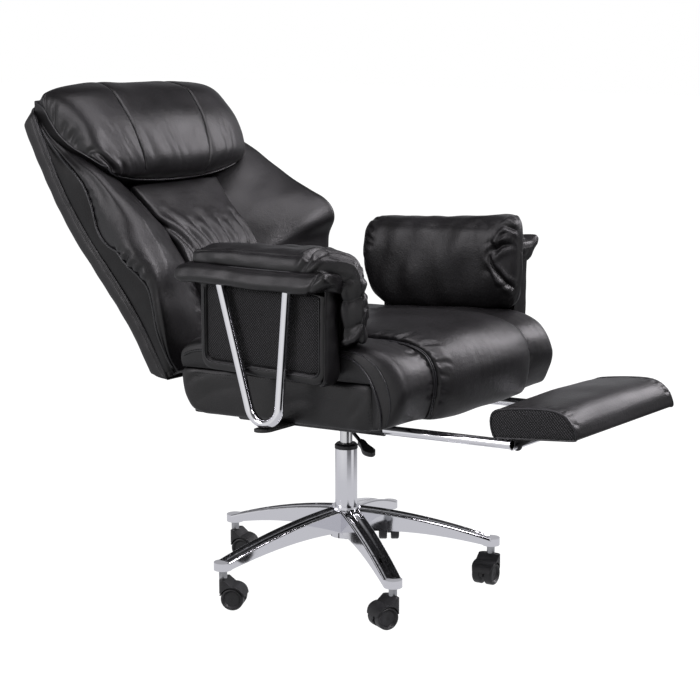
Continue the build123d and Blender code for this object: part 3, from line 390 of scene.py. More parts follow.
FINISH = {
    # bonded leather, calendered black: semi-gloss, nearly neutral
    "black_leather": leather("bonded_leather_semigloss", "#090809", "#131214", 0.37, 0.48),
    # darker and duller than the black leather, for the sheltered gussets and the bottoms of the headrest's
    # seam grooves: the darker tone is painted shade, and the higher roughness dulls it
    "gusset_leather": leather("bonded_leather_painted_shade", "#070707", "#0c0c0d", 0.66, 0.8),
    # seam piping and topstitched welts, pulled tight and so a little shinier; their tone, lighter than the
    # black leather, is a painted highlight along the cords
    "leather_welt": leather("bonded_leather_welt_painted_highlight", "#161618", "#212124", 0.24, 0.34, 0.0018),
    "chrome": polished_chrome("chrome_plate_polished", "#e6e6ea", 0.045),
    "chrome_rod": polished_chrome("chrome_plate_ground_rod", "#dededf", 0.09),
    "black_plastic": moulded_nylon("nylon_moulded_satin", "#141415", 0.46),
    "caster_plastic": moulded_nylon("nylon_caster_hood", "#161617", 0.5),
    "caster_wheel": moulded_nylon("nylon_caster_wheel", "#151516", 0.42),
    "black_steel": plain_steel("steel_powder_coated", 0.0, "#111112", "#1d1d1e", 0.5),
    "bearing_steel": plain_steel("steel_zinc_plated", 1.0, "#8f9093", "#a9aaac", 0.34),
    "caster_steel": plain_steel("steel_stem_plated", 1.0, "#9a9b9d", "#b8b9bb", 0.28),
    "plywood": birch_ply("plywood_under_dust_cloth"),
    "mesh_fabric": spacer_mesh("polyester_spacer_mesh"),
}
SLOT_OF = {entry["node"]: entry["material_slot"] for entry in frame["record"]["subparts"]}
for node_name, node in frame["nodes"].items():
    # the caster axles are blackened steel: nothing bright shows at the wheels' hubs
    slot = "black_steel" if "axle" in node_name else SLOT_OF[node_name]
    node.data.materials.clear()
    node.data.materials.append(FINISH[slot])


# ---------------------------------------------------------------- upholstery helpers
def flatten(points):
    """Each grid point's distance along its column and along its row, in mm, evened out so that every column
    and every row has the mean length: the skin laid flat, for placing seams and folds."""
    def run(axis):
        """Distance gone along an axis at each point, scaled so that every line has the mean length."""
        step = np.linalg.norm(np.diff(points, axis=axis), axis=-1)
        total = np.cumsum(np.concatenate([np.zeros_like(np.take(step, [0], axis)), step], axis), axis)
        whole = np.take(total, [-1], axis)
        return total / (whole + 1e-9) * whole.mean()
    down, along = run(0), run(1)
    return np.stack([down, along], -1)


def fade_ends(count, first, last):
    """One share a row, as a column: 0 on a grid's first and last row, and 1 from some rows in."""
    row = np.arange(count)
    return (smooth(0, first, row) * smooth(0, last, row[::-1]))[:, None]


def push(points, offset, shown=slice(None)):
    """Move the shown columns of a grid along its own normals by an offset in mm."""
    whole = np.zeros(points.shape[:2])
    whole[:, shown] = offset
    return points + grid_normals(points) * whole[..., None]


def upholster(name, mesh, body, stands_for=(), slot="black_leather"):
    """Add a padded piece from its vertices and faces, in place of the plain solids that it stands for."""
    add_piece(name, *mesh, body, slot, stands_for)


def welt(name, path, body, radius=2.1, slot="leather_welt"):
    """Piping: a leather-covered cord sewn along a seam, drawn in at its ends."""
    count = 160
    from_end = np.minimum(np.arange(count), np.arange(count)[::-1])
    cord = tube(even(spline(path, count), count), radius * np.minimum(1, from_end / 3 + 0.25))
    add_piece(name, *skin(cord), body, slot)


def superellipse(count, power):
    """Half-turn of a squarish curve: places from -1 to 1, and how full the section is at each."""
    turn = np.linspace(-np.pi / 2, np.pi / 2, count)
    place = np.sign(np.sin(turn)) * np.abs(np.sin(turn)) ** (2 / power)
    return place, np.abs(np.cos(turn)) ** (2 / power)


# ---------------------------------------------------------------- headrest
# where the two seams between its three panels run, from its foot over the front to its top
HEADREST_SEAMS = ([-160, -146, -126, -110, -104], [74, 88, 101, 113, 120])


def make_headrest():
    """A roll in three panels. Across the chair each row is a squarish curve from one end welt, over the
    crown, to the other; down the rows the crown runs from the bottom seam over the front to the top."""
    crown = np.array([(425, 119), (429, 152), (457, 178), (512, 189), (575, 188), (635, 171), (680, 136),
                      (701, 98), (694, 60)], float)
    edge = np.array([(452, 160), (461, 151), (484, 138), (513, 120), (545, 100), (585, 84), (625, 78),
                     (662, 76), (692, 58)], float)
    far_edge = np.array([(470, 124), (476, 124), (491, 120), (515, 109), (545, 96), (585, 83), (625, 77),
                         (662, 74), (690, 58)], float)
    power = [2.0, 2.6, 3.4, 4.4, 5.0, 5.2, 5.2, 4.8, 4.0]
    reach = [252, 256, 260, 263, 265, 266, 266, 265, 262]
    rows = []
    for k in range(9):
        place, full = superellipse(241, power[k])
        end = np.where(place[:, None] < 0, edge[k], far_edge[k])
        line = end + (crown[k] - end) * full[:, None]
        across = place * reach[k] * (1 - 0.055 * (place > 0) * (8 - k) / 8)
        rows.append(even(np.concatenate([across[:, None], line], 1), 250))
    front = spline(np.stack(rows, 1), 110)
    back = np.linspace(front[:, -1], front[:, 0], 14)[1:-1].swapaxes(0, 1)
    rim = smooth(226, 240, np.abs(back[..., 0]))
    back[..., 2] = rear_line(back[..., 1]) + 58.5 - 12.5 * rim
    points = from_back(*np.moveaxis(np.concatenate([front, back], 1), -1, 0))
    face = slice(0, 110)
    flat = flatten(points[:, face])
    flat[..., 0] -= flat[-1:, :, 0].mean() / 2
    x, g = flat[..., 0], flat[..., 1]
    half, girth = x.max(), g.max()
    offset = ripple(points[:, face], 90, 1.1, 3) + 6 * bump(-125, 85, x) * bump(0.8 * girth, 0.4 * girth, g)
    seams = [np.interp(g / girth, [0, 0.25, 0.5, 0.75, 1], bow) for bow in HEADREST_SEAMS]
    for seam in seams:
        gap = np.abs(x - seam)
        offset -= smooth(18, 60, g) * (2.0 * np.exp(-(gap / 15) ** 1.3) + 4.0 * bump(0, 2.6, gap))
    draw = np.random.default_rng(11)
    for _ in range(20):
        at = draw.uniform(-0.8, 0.86) * half
        low, high = draw.uniform(14, 60), draw.uniform(95, 190)
        lean_over = draw.uniform(-10, 10)
        offset += crease(flat, [(at, low), (at + lean_over, (low + high) / 2), (at - 3, high)],
                         draw.uniform(5, 11), draw.uniform(0.4, 1.2), 0.7)
    for side in (-1, 1):
        edge = [(side * half, girth * share) for share in (0.86, 0.55, 0.16)]
        offset += gathers(flat, edge, lambda f: (-side, 0.45 - 0.3 * f), 6, 44, 7.5, 3.0, 20 + side)
    offset += folds(flat, [([(-half + 34, -4), (-half + 36, 34), (-half + 26, 84)], 6.5, 9.5),
                           ([(-half + 60, -2), (-half + 70, 26), (-half + 74, 50)], 5.5, 3.5)])
    hem = smooth(0, 14, g) * smooth(0, 14, girth - g) * smooth(0, 12, half - np.abs(x))
    points = push(points, offset * hem, face)
    upholster("headrest_roll", skin(points), "back", ["headrest"])
    for name, end in (("right", 0), ("left", -1)):
        welt(f"headrest_end_welt_{name}", points[end, :110:6], "back", 2.4)
    columns = np.arange(16, 106, 4)
    for k, seam in enumerate(seams):
        # the seams show as dark cords of the gusset leather at the bottom of their grooves: painted shade in
        # the grooves
        deepest = np.abs(x - seam).argmin(0)[columns]
        welt(f"headrest_seam_{k}", points[deepest, columns] + (0, -1.3, 1.3), "back", 2.1, "gusset_leather")
    welt("headrest_lower_welt", points[2:-2:6, 1] + (0, -0.6, -0.8), "back", 2.2)


make_headrest()


# ---------------------------------------------------------------- back shell, centre panel and wings
def make_back_shell():
    """The padded frame behind the cushions: a rounded board that follows the rear wave, its foot cut
    level."""
    s = np.linspace(0, 686, 150)
    half = 268 - 14 * smooth(655, 686, s) ** 2
    corner = [(-1.0, 0.30), (-0.985, 0.12), (-0.95, 0.03), (-0.88, 0.0), (-0.5, -0.05), (0, -0.08),
              (0.5, -0.05), (0.88, 0.0), (0.95, 0.03), (0.985, 0.12), (1.0, 0.30), (1.004, 0.55), (1.0, 0.8),
              (0.993, 0.95), (0.975, 1.0), (0.6, 1.0), (0.0, 1.0), (-0.6, 1.0), (-0.975, 1.0),
              (-0.993, 0.95), (-1.0, 0.8), (-1.004, 0.55)]
    profile = spline(np.array(corner, float), 176, closed=True)
    thick = 48 + 5 * smooth(480, 640, s) - 34 * smooth(664, 686, s) ** 2 - 12 * (1 - smooth(0, 16, s)) ** 2
    x = half[:, None] * profile[:, 0]
    t = (rear_line(s) + 45.0 - thick)[:, None] + thick[:, None] * profile[:, 1]
    foot = -31 * np.clip(profile[:, 1], 0, 1) * (1 - smooth(0, 60, s))[:, None]
    points = from_back(x, s[:, None] + foot, t)
    side = smooth(0.93, 0.99, np.abs(profile[:, 0]))
    seam = 1.6 * side * bump(0.80, 0.04, profile[:, 1]) * smooth(0, 20, s)[:, None]
    points = push(points, (ripple(points, 70, 0.5, 5) - seam) * smooth(0, 10, 686 - s)[:, None])
    upholster("back_shell_cover", skin(points), "back", ["back_shell"])
    line = np.linspace(4, 668, 40)
    for name, sign in SIDES.items():
        path = from_back(sign * 267, line - 31 * (1 - smooth(0, 60, line)), rear_line(line) + 44.5)
        welt(f"back_shell_welt_{name}", path, "back", 2.6)


def make_centre_panel():
    """The panel between the wings: lightly crowned across, hollowed under the headrest, gathered at its
    foot."""
    rows, columns = 130, 110
    s = np.linspace(-12, 425, rows)
    front = np.interp(s, [-12, 18, 60, 140, 200, 250, 330, 425], [82, 122, 137, 140, 140, 135, 118, 96])
    front = spline(np.stack([s, front], -1)[::13], rows)[:, 1]
    place, full = superellipse(91, 5)
    x = place * np.interp(s, [0, 300, 360, 425], [126, 128, 136, 146])[:, None]
    floor = rear_line(s) + 59
    t = floor[:, None] + (front + 4 - floor)[:, None] * (full * 0.16 + 0.84 * np.minimum(1, full * 2.2))
    laid = np.stack([even(row, columns) for row in np.stack(spread(x, s[:, None], t), -1)])
    top = from_back(*np.moveaxis(laid, -1, 0))
    under = from_back(np.linspace(124, -124, 12), s[:, None], floor[:, None])
    flat = flatten(top)
    across, up = flat[..., 1] - flat[..., 1].mean(), flat[..., 0]
    flat = np.stack([across, up], -1)
    offset = ripple(top, 80, 0.8, 8)
    draw = np.random.default_rng(4)
    for k in range(7):
        at = -96 + 32 * k + draw.uniform(-6, 6)
        fan = -0.7 * max(0.0, -at)
        low, high = 232 + draw.uniform(-8, 8), 366 - 0.1 * (at + 100) + draw.uniform(-34, 14)
        offset += crease(flat, [(at, low), (at + fan * 0.3, (low + high) / 2), (at + fan, high)],
                         draw.uniform(5.6, 8.5), draw.uniform(5.0, 8.5), 0.6)
        offset += crease(flat, [(at + 9, 20), (at + 12, 70), (at + 8, 120 + draw.uniform(-20, 30))],
                         draw.uniform(5, 8), draw.uniform(1.5, 3.0), 0.7)
    offset -= 5 * bump(240, 15, up) * smooth(0, 40, 128 - np.abs(across))
    hem = smooth(0, 10, across.max() - np.abs(across))
    points = push(np.concatenate([top, under], 1), offset * hem, slice(0, columns))
    upholster("back_centre_panel", skin(points), "back", ["back_centre_cushion"])


# the wings' common rows: s, inner x, inner t, bulge x, welt x, welt t
WING_ROWS = np.array([
    (-26, 128, 70, 258, 260, 62), (8, 128, 100, 284, 278, 84), (60, 126, 112, 297, 282, 98),
    (110, 124, 118, 302, 283, 122), (152, 122, 122, 305, 284, 137), (184, 121, 124, 310, 284, 131),
    (206, 120, 124, 315, 284, 124), (230, 121, 123, 318, 284, 114), (260, 122, 121, 316, 283, 106),
    (298, 124, 118, 310, 281, 77), (338, 131, 110, 302, 281, 67), (386, 140, 101, 298, 280, 83),
    (436, 149, 91, 294, 280, 91), (476, 154, 82, 290, 278, 84), (514, 158, 74, 282, 274, 68),
    (548, 160, 66, 270, 266, 52), (600, 160, 52, 264, 264, 40), (664, 160, 44, 262, 262, 34),
], float)
# the lobes differ as the stuffing lies: s, crest x, crest t
LOBES = {
    "right": [(-26, 238, 76), (8, 262, 98), (60, 276, 132), (110, 282, 160), (152, 276, 182),
              (184, 266, 192), (230, 266, 198), (298, 268, 192), (338, 270, 183), (386, 276, 170),
              (436, 274, 153), (476, 270, 132), (514, 260, 108), (548, 250, 84), (600, 250, 56),
              (664, 248, 46)],
    "left": [(-26, 238, 76), (8, 262, 98), (60, 276, 132), (110, 284, 160), (152, 288, 186), (184, 292, 210),
             (206, 296, 244), (226, 297, 256), (250, 294, 256), (298, 290, 230), (338, 288, 205),
             (386, 286, 181), (436, 282, 160), (476, 276, 142), (514, 266, 120), (548, 254, 92),
             (600, 250, 58), (664, 248, 46)],
}


def make_wing(name, sign):
    """A side wing: plump from the centre panel's edge outward, with a lobe that swells over the arm, and
    above it a gusset up the headrest's side. Rows are sections square to the back: inner edge, dome, crest,
    outer bulge, welt, side gusset, base."""
    s, inner_x, inner, bulge_x, welt_x, welt_t = WING_ROWS.T
    lobe = np.array(LOBES[name], float)
    crest_x, crest = (np.interp(s, lobe[:, 0], lobe[:, k]) for k in (1, 2))
    shell = rear_line(s) + 44
    base = shell + 16 - 14 * smooth(560, 600, s)
    wide, rise, drop = crest_x - inner_x, crest - inner, crest - welt_t
    columns = [
        (inner_x + 3, shell + 16), (inner_x - 1, (shell + inner) / 2 + 4), (inner_x + 1, inner - 4),
        *((inner_x + across * wide, inner + up * rise) for across, up in (
            (0.07, 0.06), (0.20, 0.235), (0.38, 0.46), (0.56, 0.665), (0.72, 0.82), (0.87, 0.94))),
        (crest_x, crest), ((crest_x + bulge_x) / 2 + 4, crest - drop * 0.08 - 1),
        (bulge_x - 3, crest - drop * 0.29 - 2), (bulge_x, crest - drop * 0.54),
        (bulge_x - 6, crest - drop * 0.80), (welt_x, welt_t), (welt_x - 8, welt_t - 3),
        ((welt_x + 264) / 2, (welt_t + shell) / 2), (264, shell + 2), (250, base), (190, base),
    ]
    rows = 210
    grid = net(np.stack([np.stack(spread(sign * x, s, t), -1) for x, t in columns], 1), rows, 229)
    points = from_back(*np.moveaxis(grid, -1, 0))
    # the grid's columns: padded front, groove of the welt, side, inner edge
    front, groove, side, inner_edge = slice(24, 170), 151, slice(155, 206), 25
    g = flatten(points)[:, front, 1]
    share_across = (g - g[:, :1]) / (g[:, -1:] - g[:, :1])
    # flat x is 0 at the inner edge and 230 at the welt; flat y is s
    flat = np.stack([share_across * 230, grid[:, front, 1]], -1)
    offset = ripple(points[:, front], 85, 1.0, 17 + sign)
    offset += folds(flat, [
        ([(229, 240), (210, 246), (190, 258)], 5.0, 8.0), ([(229, 252), (212, 262), (192, 276)], 4.5, 7.0),
        ([(229, 226), (206, 228), (178, 236)], 5.0, 8.5), ([(229, 212), (206, 208), (184, 212)], 4.5, 6.0),
        ([(229, 196), (204, 192), (176, 196)], 5.5, 6.0), ([(229, 176), (208, 168), (188, 166)], 4.5, 3.4),
        ([(228, 432), (206, 424), (184, 410)], 4.5, 3.6), ([(228, 412), (204, 402), (186, 392)], 4.0, 3.2),
        ([(228, 392), (208, 384), (190, 378)], 3.6, 2.6), ([(228, 360), (205, 356), (182, 350)], 4.5, 2.4),
    ])
    offset += gathers(flat, [(226, 150), (226, 60)], lambda f: (-1, 0.3), 6, 30, 5.0, 1.8, 31 + sign)
    offset += gathers(flat, [(6, 150), (6, 40)], lambda f: (1, 0.5), 7, 50, 6.5, 2.6, 41 + sign)
    offset += gathers(flat, [(228, 510), (228, 380)], lambda f: (-1, -0.2), 6, 26, 4.5, 1.6, 51 + sign)
    hem = smooth(0.0, 0.03, share_across) * smooth(0.075, 0.20, 1 - share_across)
    points = push(points, offset * hem * smooth(0, 8, np.arange(rows))[:, None], front)
    upholster(f"back_wing_{name}_lobe", skin(points), "back", [f"back_wing_{name}"])
    welt(f"back_wing_{name}_welt", points[4:-4:4, groove] + (3.6 * sign, -1.8, 0), "back", 3.3)
    # the gusset behind the welt is a sheet of its own, laid over the wing's side, in the darker gusset
    # leather that paints the shade in the lobe's shelter
    half_thick = 1.5
    flank, edge = points[4:-4, side], half_thick * grid_normals(points)[4:-4, side]
    sheet = np.concatenate([flank + edge, (flank - edge)[:, ::-1]], 1)
    upholster(f"back_wing_{name}_gusset", skin(sheet, lid="ladder"), "back", slot="gusset_leather")
    welt(f"back_wing_{name}_inner_welt", points[4:150:4, inner_edge], "back", 1.6)


make_back_shell()
make_centre_panel()
for side_name, side_sign in SIDES.items():
    make_wing(side_name, side_sign)


# ---------------------------------------------------------------- seat
SEAT = {
    # side outlines of the cushion as (a, h), from its rear foot over the top to the front roll's underside
    "crown": [(-214, 102), (-220, 146), (-176, 170), (-80, 183), (20, 189), (110, 193), (210, 195),
              (282, 190), (335, 176), (372, 148), (392, 112), (395, 84), (388, 48), (376, 18), (356, 8),
              (303, 8)],
    "seam": [(-214, 102), (-216, 138), (-172, 156), (-80, 161), (20, 163), (110, 166), (200, 167), (262, 166),
             (312, 159), (346, 143), (364, 114), (367, 84), (361, 50), (351, 20), (338, 10), (303, 9)],
    "side": [(-212, 102), (-216, 142), (-176, 164), (-80, 170), (20, 174), (110, 178), (198, 180), (280, 174),
             (330, 157), (358, 130), (371, 98), (371, 76), (362, 50), (346, 22), (330, 12), (303, 9)],
    "edge": [(-210, 102), (-212, 124), (-172, 138), (-80, 146), (20, 152), (110, 155), (190, 156), (247, 151),
             (282, 128), (303, 98), (314, 70), (319, 52), (321, 36), (320, 18), (314, 10), (302, 9)],
    # the hidden inside of the L that sits on the band
    "inside": [(301, 12), (301, 16), (301, 22), (301, 50), (301, 78), (301, 92), (299, 101), (285, 101.5),
               (255, 101.5), (200, 101.5), (110, 101.5), (20, 101.5), (-80, 101.5), (-150, 101.5),
               (-190, 101.5), (-206, 101.5)],
}
SEAT = {name: np.array(line, float) for name, line in SEAT.items()}
# |x| of the seams between the three channels
SEAT_SEAM = 178


def seat_stations():
    """Across the seat: how far out each section lies and its outline, from the middle outward. An outline is
    a share of the way from one profile to the next."""
    steps = [
        ("seam", "crown", [(0, 1.0), (60, 0.98), (110, 0.90), (145, 0.74), (165, 0.50), (174, 0.22),
                           (SEAT_SEAM, 0.0)]),
        ("seam", "side", [(182, 0.25), (192, 0.58), (212, 0.88), (245, 1.0)]),
        ("side", "edge", [(274, 0.03), (289, 0.20), (298, 0.50), (302, 1.0)]),
    ]
    return [(x, SEAT[low] + (SEAT[high] - SEAT[low]) * share)
            for low, high, places in steps for x, share in places]


def stitches(name, path, body):
    """Topstitching: short threads sunk a little in the leather, one every pitch along a path."""
    pitch, length, radius = 7.0, 4.6, 0.55
    run = np.linalg.norm(np.diff(spline(path, 200), axis=0), axis=1).sum()
    count = int(run / pitch)
    line = even(spline(path, 400), count * 8 + 1)
    grids = []
    for k in range(count):
        thread = line[k * 8:k * 8 + 7:2]
        thread = thread[0] + (thread - thread[0]) * length / pitch
        grids.append(tube(thread, radius * np.array([0.5, 1, 1, 0.5]), 5))
    add_piece(name, *joined(grids), body, "leather_welt")


def make_seat():
    """Three channels side by side; deep seams part them and the front edge rolls over the band."""
    half = seat_stations()
    stations = [(-x, outline) for x, outline in half[:0:-1]] + half
    sections = [np.insert(np.concatenate([outline, SEAT["inside"]]), 0, x, axis=1) for x, outline in stations]
    rows = 300
    grid = net(sections, rows, 320)
    points = from_seat(*np.moveaxis(grid, -1, 0))
    top = slice(6, 160)
    x, girth = grid[:, top, 0], flatten(points[:, top])[..., 1]
    flat = np.stack([x, girth], -1)
    offset = ripple(points[:, top], 110, 1.1, 2)
    offset += 0.16 * np.sin(x / 4.3 + 3 * np.sin(x / 31)) * bump(565, 95, girth)
    offset -= 7 * bump(-SEAT_SEAM, 4.5, x) * bump(540, 190, girth)
    for seam, length, depth in ((-SEAT_SEAM, 24, 1.9), (SEAT_SEAM, 15, 1.1)):
        for way in (-1, 1):
            offset += gathers(flat, [(seam, 120), (seam, 420), (seam, 700)], lambda f: (way, 0.15), 20,
                              length, 4.0, depth, 300 + seam + way)
    offset += folds(flat, [
        ([(-176, 500), (-150, 506), (-120, 498)], 5, 3.2), ([(-176, 560), (-152, 556), (-128, 562)], 5, 3.6),
        ([(-176, 610), (-150, 606), (-132, 612)], 4, 2.4), ([(-180, 520), (-200, 514), (-226, 520)], 5, 2.2),
        ([(-180, 580), (-202, 584), (-222, 578)], 5, 2.0),
        ([(196, 250), (214, 290), (226, 350), (222, 410)], 6, 3.0),
        ([(210, 240), (232, 290), (246, 350), (244, 400)], 6, 2.6),
        ([(226, 236), (252, 290), (264, 340)], 6, 2.4), ([(60, 110), (20, 150), (-40, 170)], 10, 2.2),
        ([(-60, 90), (-90, 130), (-130, 150)], 9, 2.2), ([(120, 140), (90, 180), (40, 200)], 10, 2.0),
    ])
    points = push(points, offset * fade_ends(rows, 12, 12), top)
    upholster("seat_channels", skin(points, lid="ladder"), "seat", ["seat_cushion"])
    outer = spline(SEAT["edge"][1:-1], 60)
    inner = spline(SEAT["side"][6:-2] * 0.46 + SEAT["edge"][6:-2] * 0.54, 50)
    seam = spline(SEAT["seam"][1:-1], 60)
    for name, sign in SIDES.items():
        welt(f"seat_side_welt_{name}", from_seat(sign * 303, *outer.T), "seat", 2.8)
        welt(f"seat_inner_welt_{name}", from_seat(sign * 299.4, *(inner + 0.6).T), "seat", 1.7)
        for shift in (-3.2, 3.2):
            path = from_seat(sign * SEAT_SEAM + shift, *(seam + (1.5, 2.2)).T)
            welt(f"seat_seam_{name}_{'in' if shift * sign < 0 else 'out'}", path, "seat", 1.8)


def plan_loop(half_width, rear, front, rear_round, front_round, count):
    """Rounded rectangle in plan as (x, a): quarter turns at its four corners, evenly spaced points."""
    corners = []
    for k, (sign, toward) in enumerate(((1, 1), (-1, 1), (-1, -1), (1, -1))):
        a, radius = (front, front_round) if toward > 0 else (rear, rear_round)
        angle = np.linspace(0, np.pi / 2, 10) + k * np.pi / 2
        corners.append(np.stack([sign * (half_width - radius) + radius * np.cos(angle),
                                 a - toward * radius + radius * np.sin(angle)], -1))
    return even(np.concatenate(corners), count, closed=True)


def make_band():
    """The upholstered box under the cushion: leather drawn tight over its sides and tucked under its
    board."""
    rows = [
        # h, side inset, rear inset, front inset
        (-0.6, 60, 80, 60), (-0.8, 16, 46, 18), (1.5, 7, 32, 9), (8, 2.5, 18, 3.5), (18, 0.6, 7, 1.2),
        (40, -1.0, -5, 0.4), (64, -1.4, -10, 0.3), (84, -0.6, -11, 0.3), (94, 1.0, -8, 1), (98.5, 5, -2, 4),
        (99.2, 14, 8, 14), (99.2, 70, 70, 70),
    ]
    control = [np.insert(plan_loop(300 - side, -222 + rear, 299.6 - front, 30, 10, 48), 2, h, axis=1)
               for h, side, rear, front in rows]
    grid = net(control, 110, 440)
    points = from_seat(*np.moveaxis(grid, -1, 0))
    h = grid[..., 2]
    offset = ripple(points, 75, 0.7, 9) + folds(grid[..., 1:], [
        ([(-190, 20), (-120, 55), (-30, 70)], 12, 1.6), ([(20, 15), (90, 48), (190, 60)], 12, 1.6),
        ([(230, 20), (262, 50), (284, 84)], 6, 1.4), ([(-200, 60), (-180, 80), (-150, 90)], 6, 1.8),
    ])
    points = push(points, offset * smooth(1, 12, h) * smooth(0, 10, 99 - h))
    upholster("seat_band_cover", skin(points), "seat", ["seat_band"])
    a, h = np.array([(-214, 89), (-100, 90), (20, 90), (150, 90), (250, 89), (280, 86), (291, 74), (295, 50),
                     (296.5, 16)], float).T
    for name, sign in SIDES.items():
        for row, inset in enumerate((0.0, 7.0)):
            path = from_seat(sign * 300.9, a - inset * smooth(250, 290, a),
                             h - inset * (1 - smooth(280, 296, a)))
            stitches(f"seat_band_stitching_{name}_{row}", path, "seat")


make_seat()
make_band()


# ---------------------------------------------------------------- arms
# how far each arm is drawn out forward by its stuffing, in mm
REACH = {"right": -9.0, "left": 19.0}
# |x| of the arms' inner face, height of the caps' underside
ARM_INNER, CAP_UNDERSIDE = 306, 722


def on_arm(name, x, forward, z):
    """Point of an arm out from the chair's middle, forward, and above the floor. The arm is stretched toward
    its front end by its reach."""
    x, forward, z = spread(x, forward, z)
    return np.stack([SIDES[name] * x, -(forward + REACH[name] * smooth(20, 230, forward)), z], -1)


def make_arm_cap(name, sign):
    """The board on top of the arm: leather rolled over its outer edge into a drooping lip."""
    out, up = np.array([
        (306, 722.5), (326, 722), (346, 721.5), (358, 718.5), (368, 718), (376, 723), (378.5, 732),
        (376, 742), (371, 752), (362, 758), (346, 761.5), (322, 764), (308, 764.8), (306.3, 744),
    ]).T
    rows = [
        # forward, share of height kept, lip reach, lip wave
        (-177, 0.30, 0.62, 6.0), (-175, 0.56, 0.84, 4.0), (-168, 0.74, 0.95, 1.0), (-152, 0.88, 1.0, -2.0),
        (-128, 0.98, 1.0, 0.0), (-70, 1.0, 1.0, 2.0), (0, 1.0, 1.0, 0.5), (70, 1.0, 1.0, -1.0),
        (130, 1.0, 1.0, 1.0), (166, 1.0, 1.02, 2.0), (186, 1.0, 1.03, 3.0), (203, 1.0, 1.04, 6.0),
        (220, 1.0, 1.04, 12.0), (236, 0.96, 1.02, 22.0), (244, 0.86, 0.95, 26.0), (248, 0.6, 0.84, 24.0),
    ]
    if name == "left":
        # the far cap's front end is rolled up and a little fuller
        rows[9:] = [(166, 1.0, 1.02, 14.0), (186, 1.0, 1.05, 22.0), (203, 1.0, 1.08, 28.0),
                    (220, 1.0, 1.08, 32.0), (236, 0.96, 1.06, 36.0), (244, 0.86, 0.98, 36.0),
                    (248, 0.6, 0.86, 32.0)]
    low = smooth(335, 376, out) * (1 - smooth(728, 760, up))
    lifted = low + 0.55 * smooth(338, 376, out) * (1 - low)
    crown = 2.5 * smooth(740, 756, up)
    points = net([on_arm(name, ARM_INNER + (out - ARM_INNER) * reach, forward,
                         CAP_UNDERSIDE + (up - CAP_UNDERSIDE) * share + wave * lifted
                         + crown * smooth(40, 170, forward))
                  for forward, share, reach, wave in rows], 220, 112)
    x, along, z = np.abs(points[..., 0]), -points[..., 1], points[..., 2]
    lip = smooth(352, 368, x) * (1 - smooth(740, 756, z))
    offset = ripple(points, 60, 0.6, 12 + sign) + lip * 0.9 * np.sin(along / 24 + 1.5 * np.sin(along / 61))
    offset -= 2.4 * bump(203, 4.0, along - 0.5 * (z - 740)) * smooth(350, 362, x)
    points = push(points, offset * smooth(306, 316, x))
    upholster(f"arm_cap_{name}_cover", skin(points), "seat", [f"arm_cap_{name}"])


def panel_loop(inset, count):
    """The panel's outline as (forward, z), drawn in by inset: square at the top, rounded below."""
    loop = plan_loop(171 - inset * 0.75, 533 + inset, 721.5 - inset * 0.2, max(30 - inset * 0.6, 8), 4, count)
    return loop + (51.0, 0.0)


def make_arm_panel(name, sign):
    """The upright side of the arm: a padded leather frame, rolled at its edges, round an inset of mesh."""
    frame_rows = [(306.5, 6), (306.5, 0.5), (320, -0.5), (336, -0.5), (346, 1.0), (349.5, 6), (350.5, 13),
                  (349, 19.5), (345.5, 23), (341, 24.5), (325, 25), (306.5, 25)]
    control = [np.insert(panel_loop(inset, 64), 0, x, axis=1) for x, inset in frame_rows]
    grid = spline(lofted(control, 84, closed=True), 520, closed=True).swapaxes(0, 1)
    points = on_arm(name, *np.moveaxis(grid, -1, 0))
    points = push(points, ripple(points, 55, 0.6, 15 + sign))
    upholster(f"arm_panel_{name}_frame", skin(points, lid="ring"), "seat", [f"arm_panel_{name}"])
    path = on_arm(name, 350.4, *panel_loop(17, 90).T)
    path = np.roll(path, -int(path[:, 2].argmax()) - 1, axis=0)
    welt(f"arm_panel_{name}_welt", path[path[:, 2] < 716], "seat", 1.8)


def make_arm_strip(name, sign):
    """The leather strip that runs up the panel's front edge and folds back over the front of the cap."""
    line = spline([(212, 534), (222, 541), (227, 560), (228, 640), (228.5, 700), (230, 728), (231, 746),
                   (228, 759), (219, 768), (206, 771), (194, 770), (182, 767)], 150)
    line[:, 0] += REACH[name] * smooth(20, 230, line[:, 0])
    way = np.gradient(line, axis=0)
    way /= np.linalg.norm(way, axis=1, keepdims=True)
    outward = np.stack([way[:, 1], -way[:, 0]], -1)
    out, lift = np.array([(307, -3), (308, 0.4), (314, 2.2), (330, 3), (346, 2.2), (352, 0.2), (352, -3.5),
                          (330, -4)]).T
    forward, z = np.moveaxis(line[:, None] + outward[:, None] * lift[:, None], -1, 0)
    flare = 1 + 0.10 * bump(750, 26, line[:, 1]) * (line[:, 0] > 225)
    x = ARM_INNER + (out - ARM_INNER) * flare[:, None]
    points = spline(np.stack([sign * x, -forward, z], -1), 60, closed=True)
    points = push(points, ripple(points, 34, 0.5, 44 + sign))
    upholster(f"arm_strip_{name}", skin(points), "seat")


def mesh_grid(name):
    """One stretched mesh field: rings shrinking from the frame to the middle, slightly domed, flat
    behind."""
    rows = [(330, 60), (330, 24.6), (341, 23.4), (344.5, 24), (346, 30), (347.2, 44), (348, 66), (348.2, 84)]
    grid = net([np.insert(panel_loop(inset, 48), 0, x, axis=1) for x, inset in rows], 70, 240)
    return on_arm(name, *np.moveaxis(grid, -1, 0))


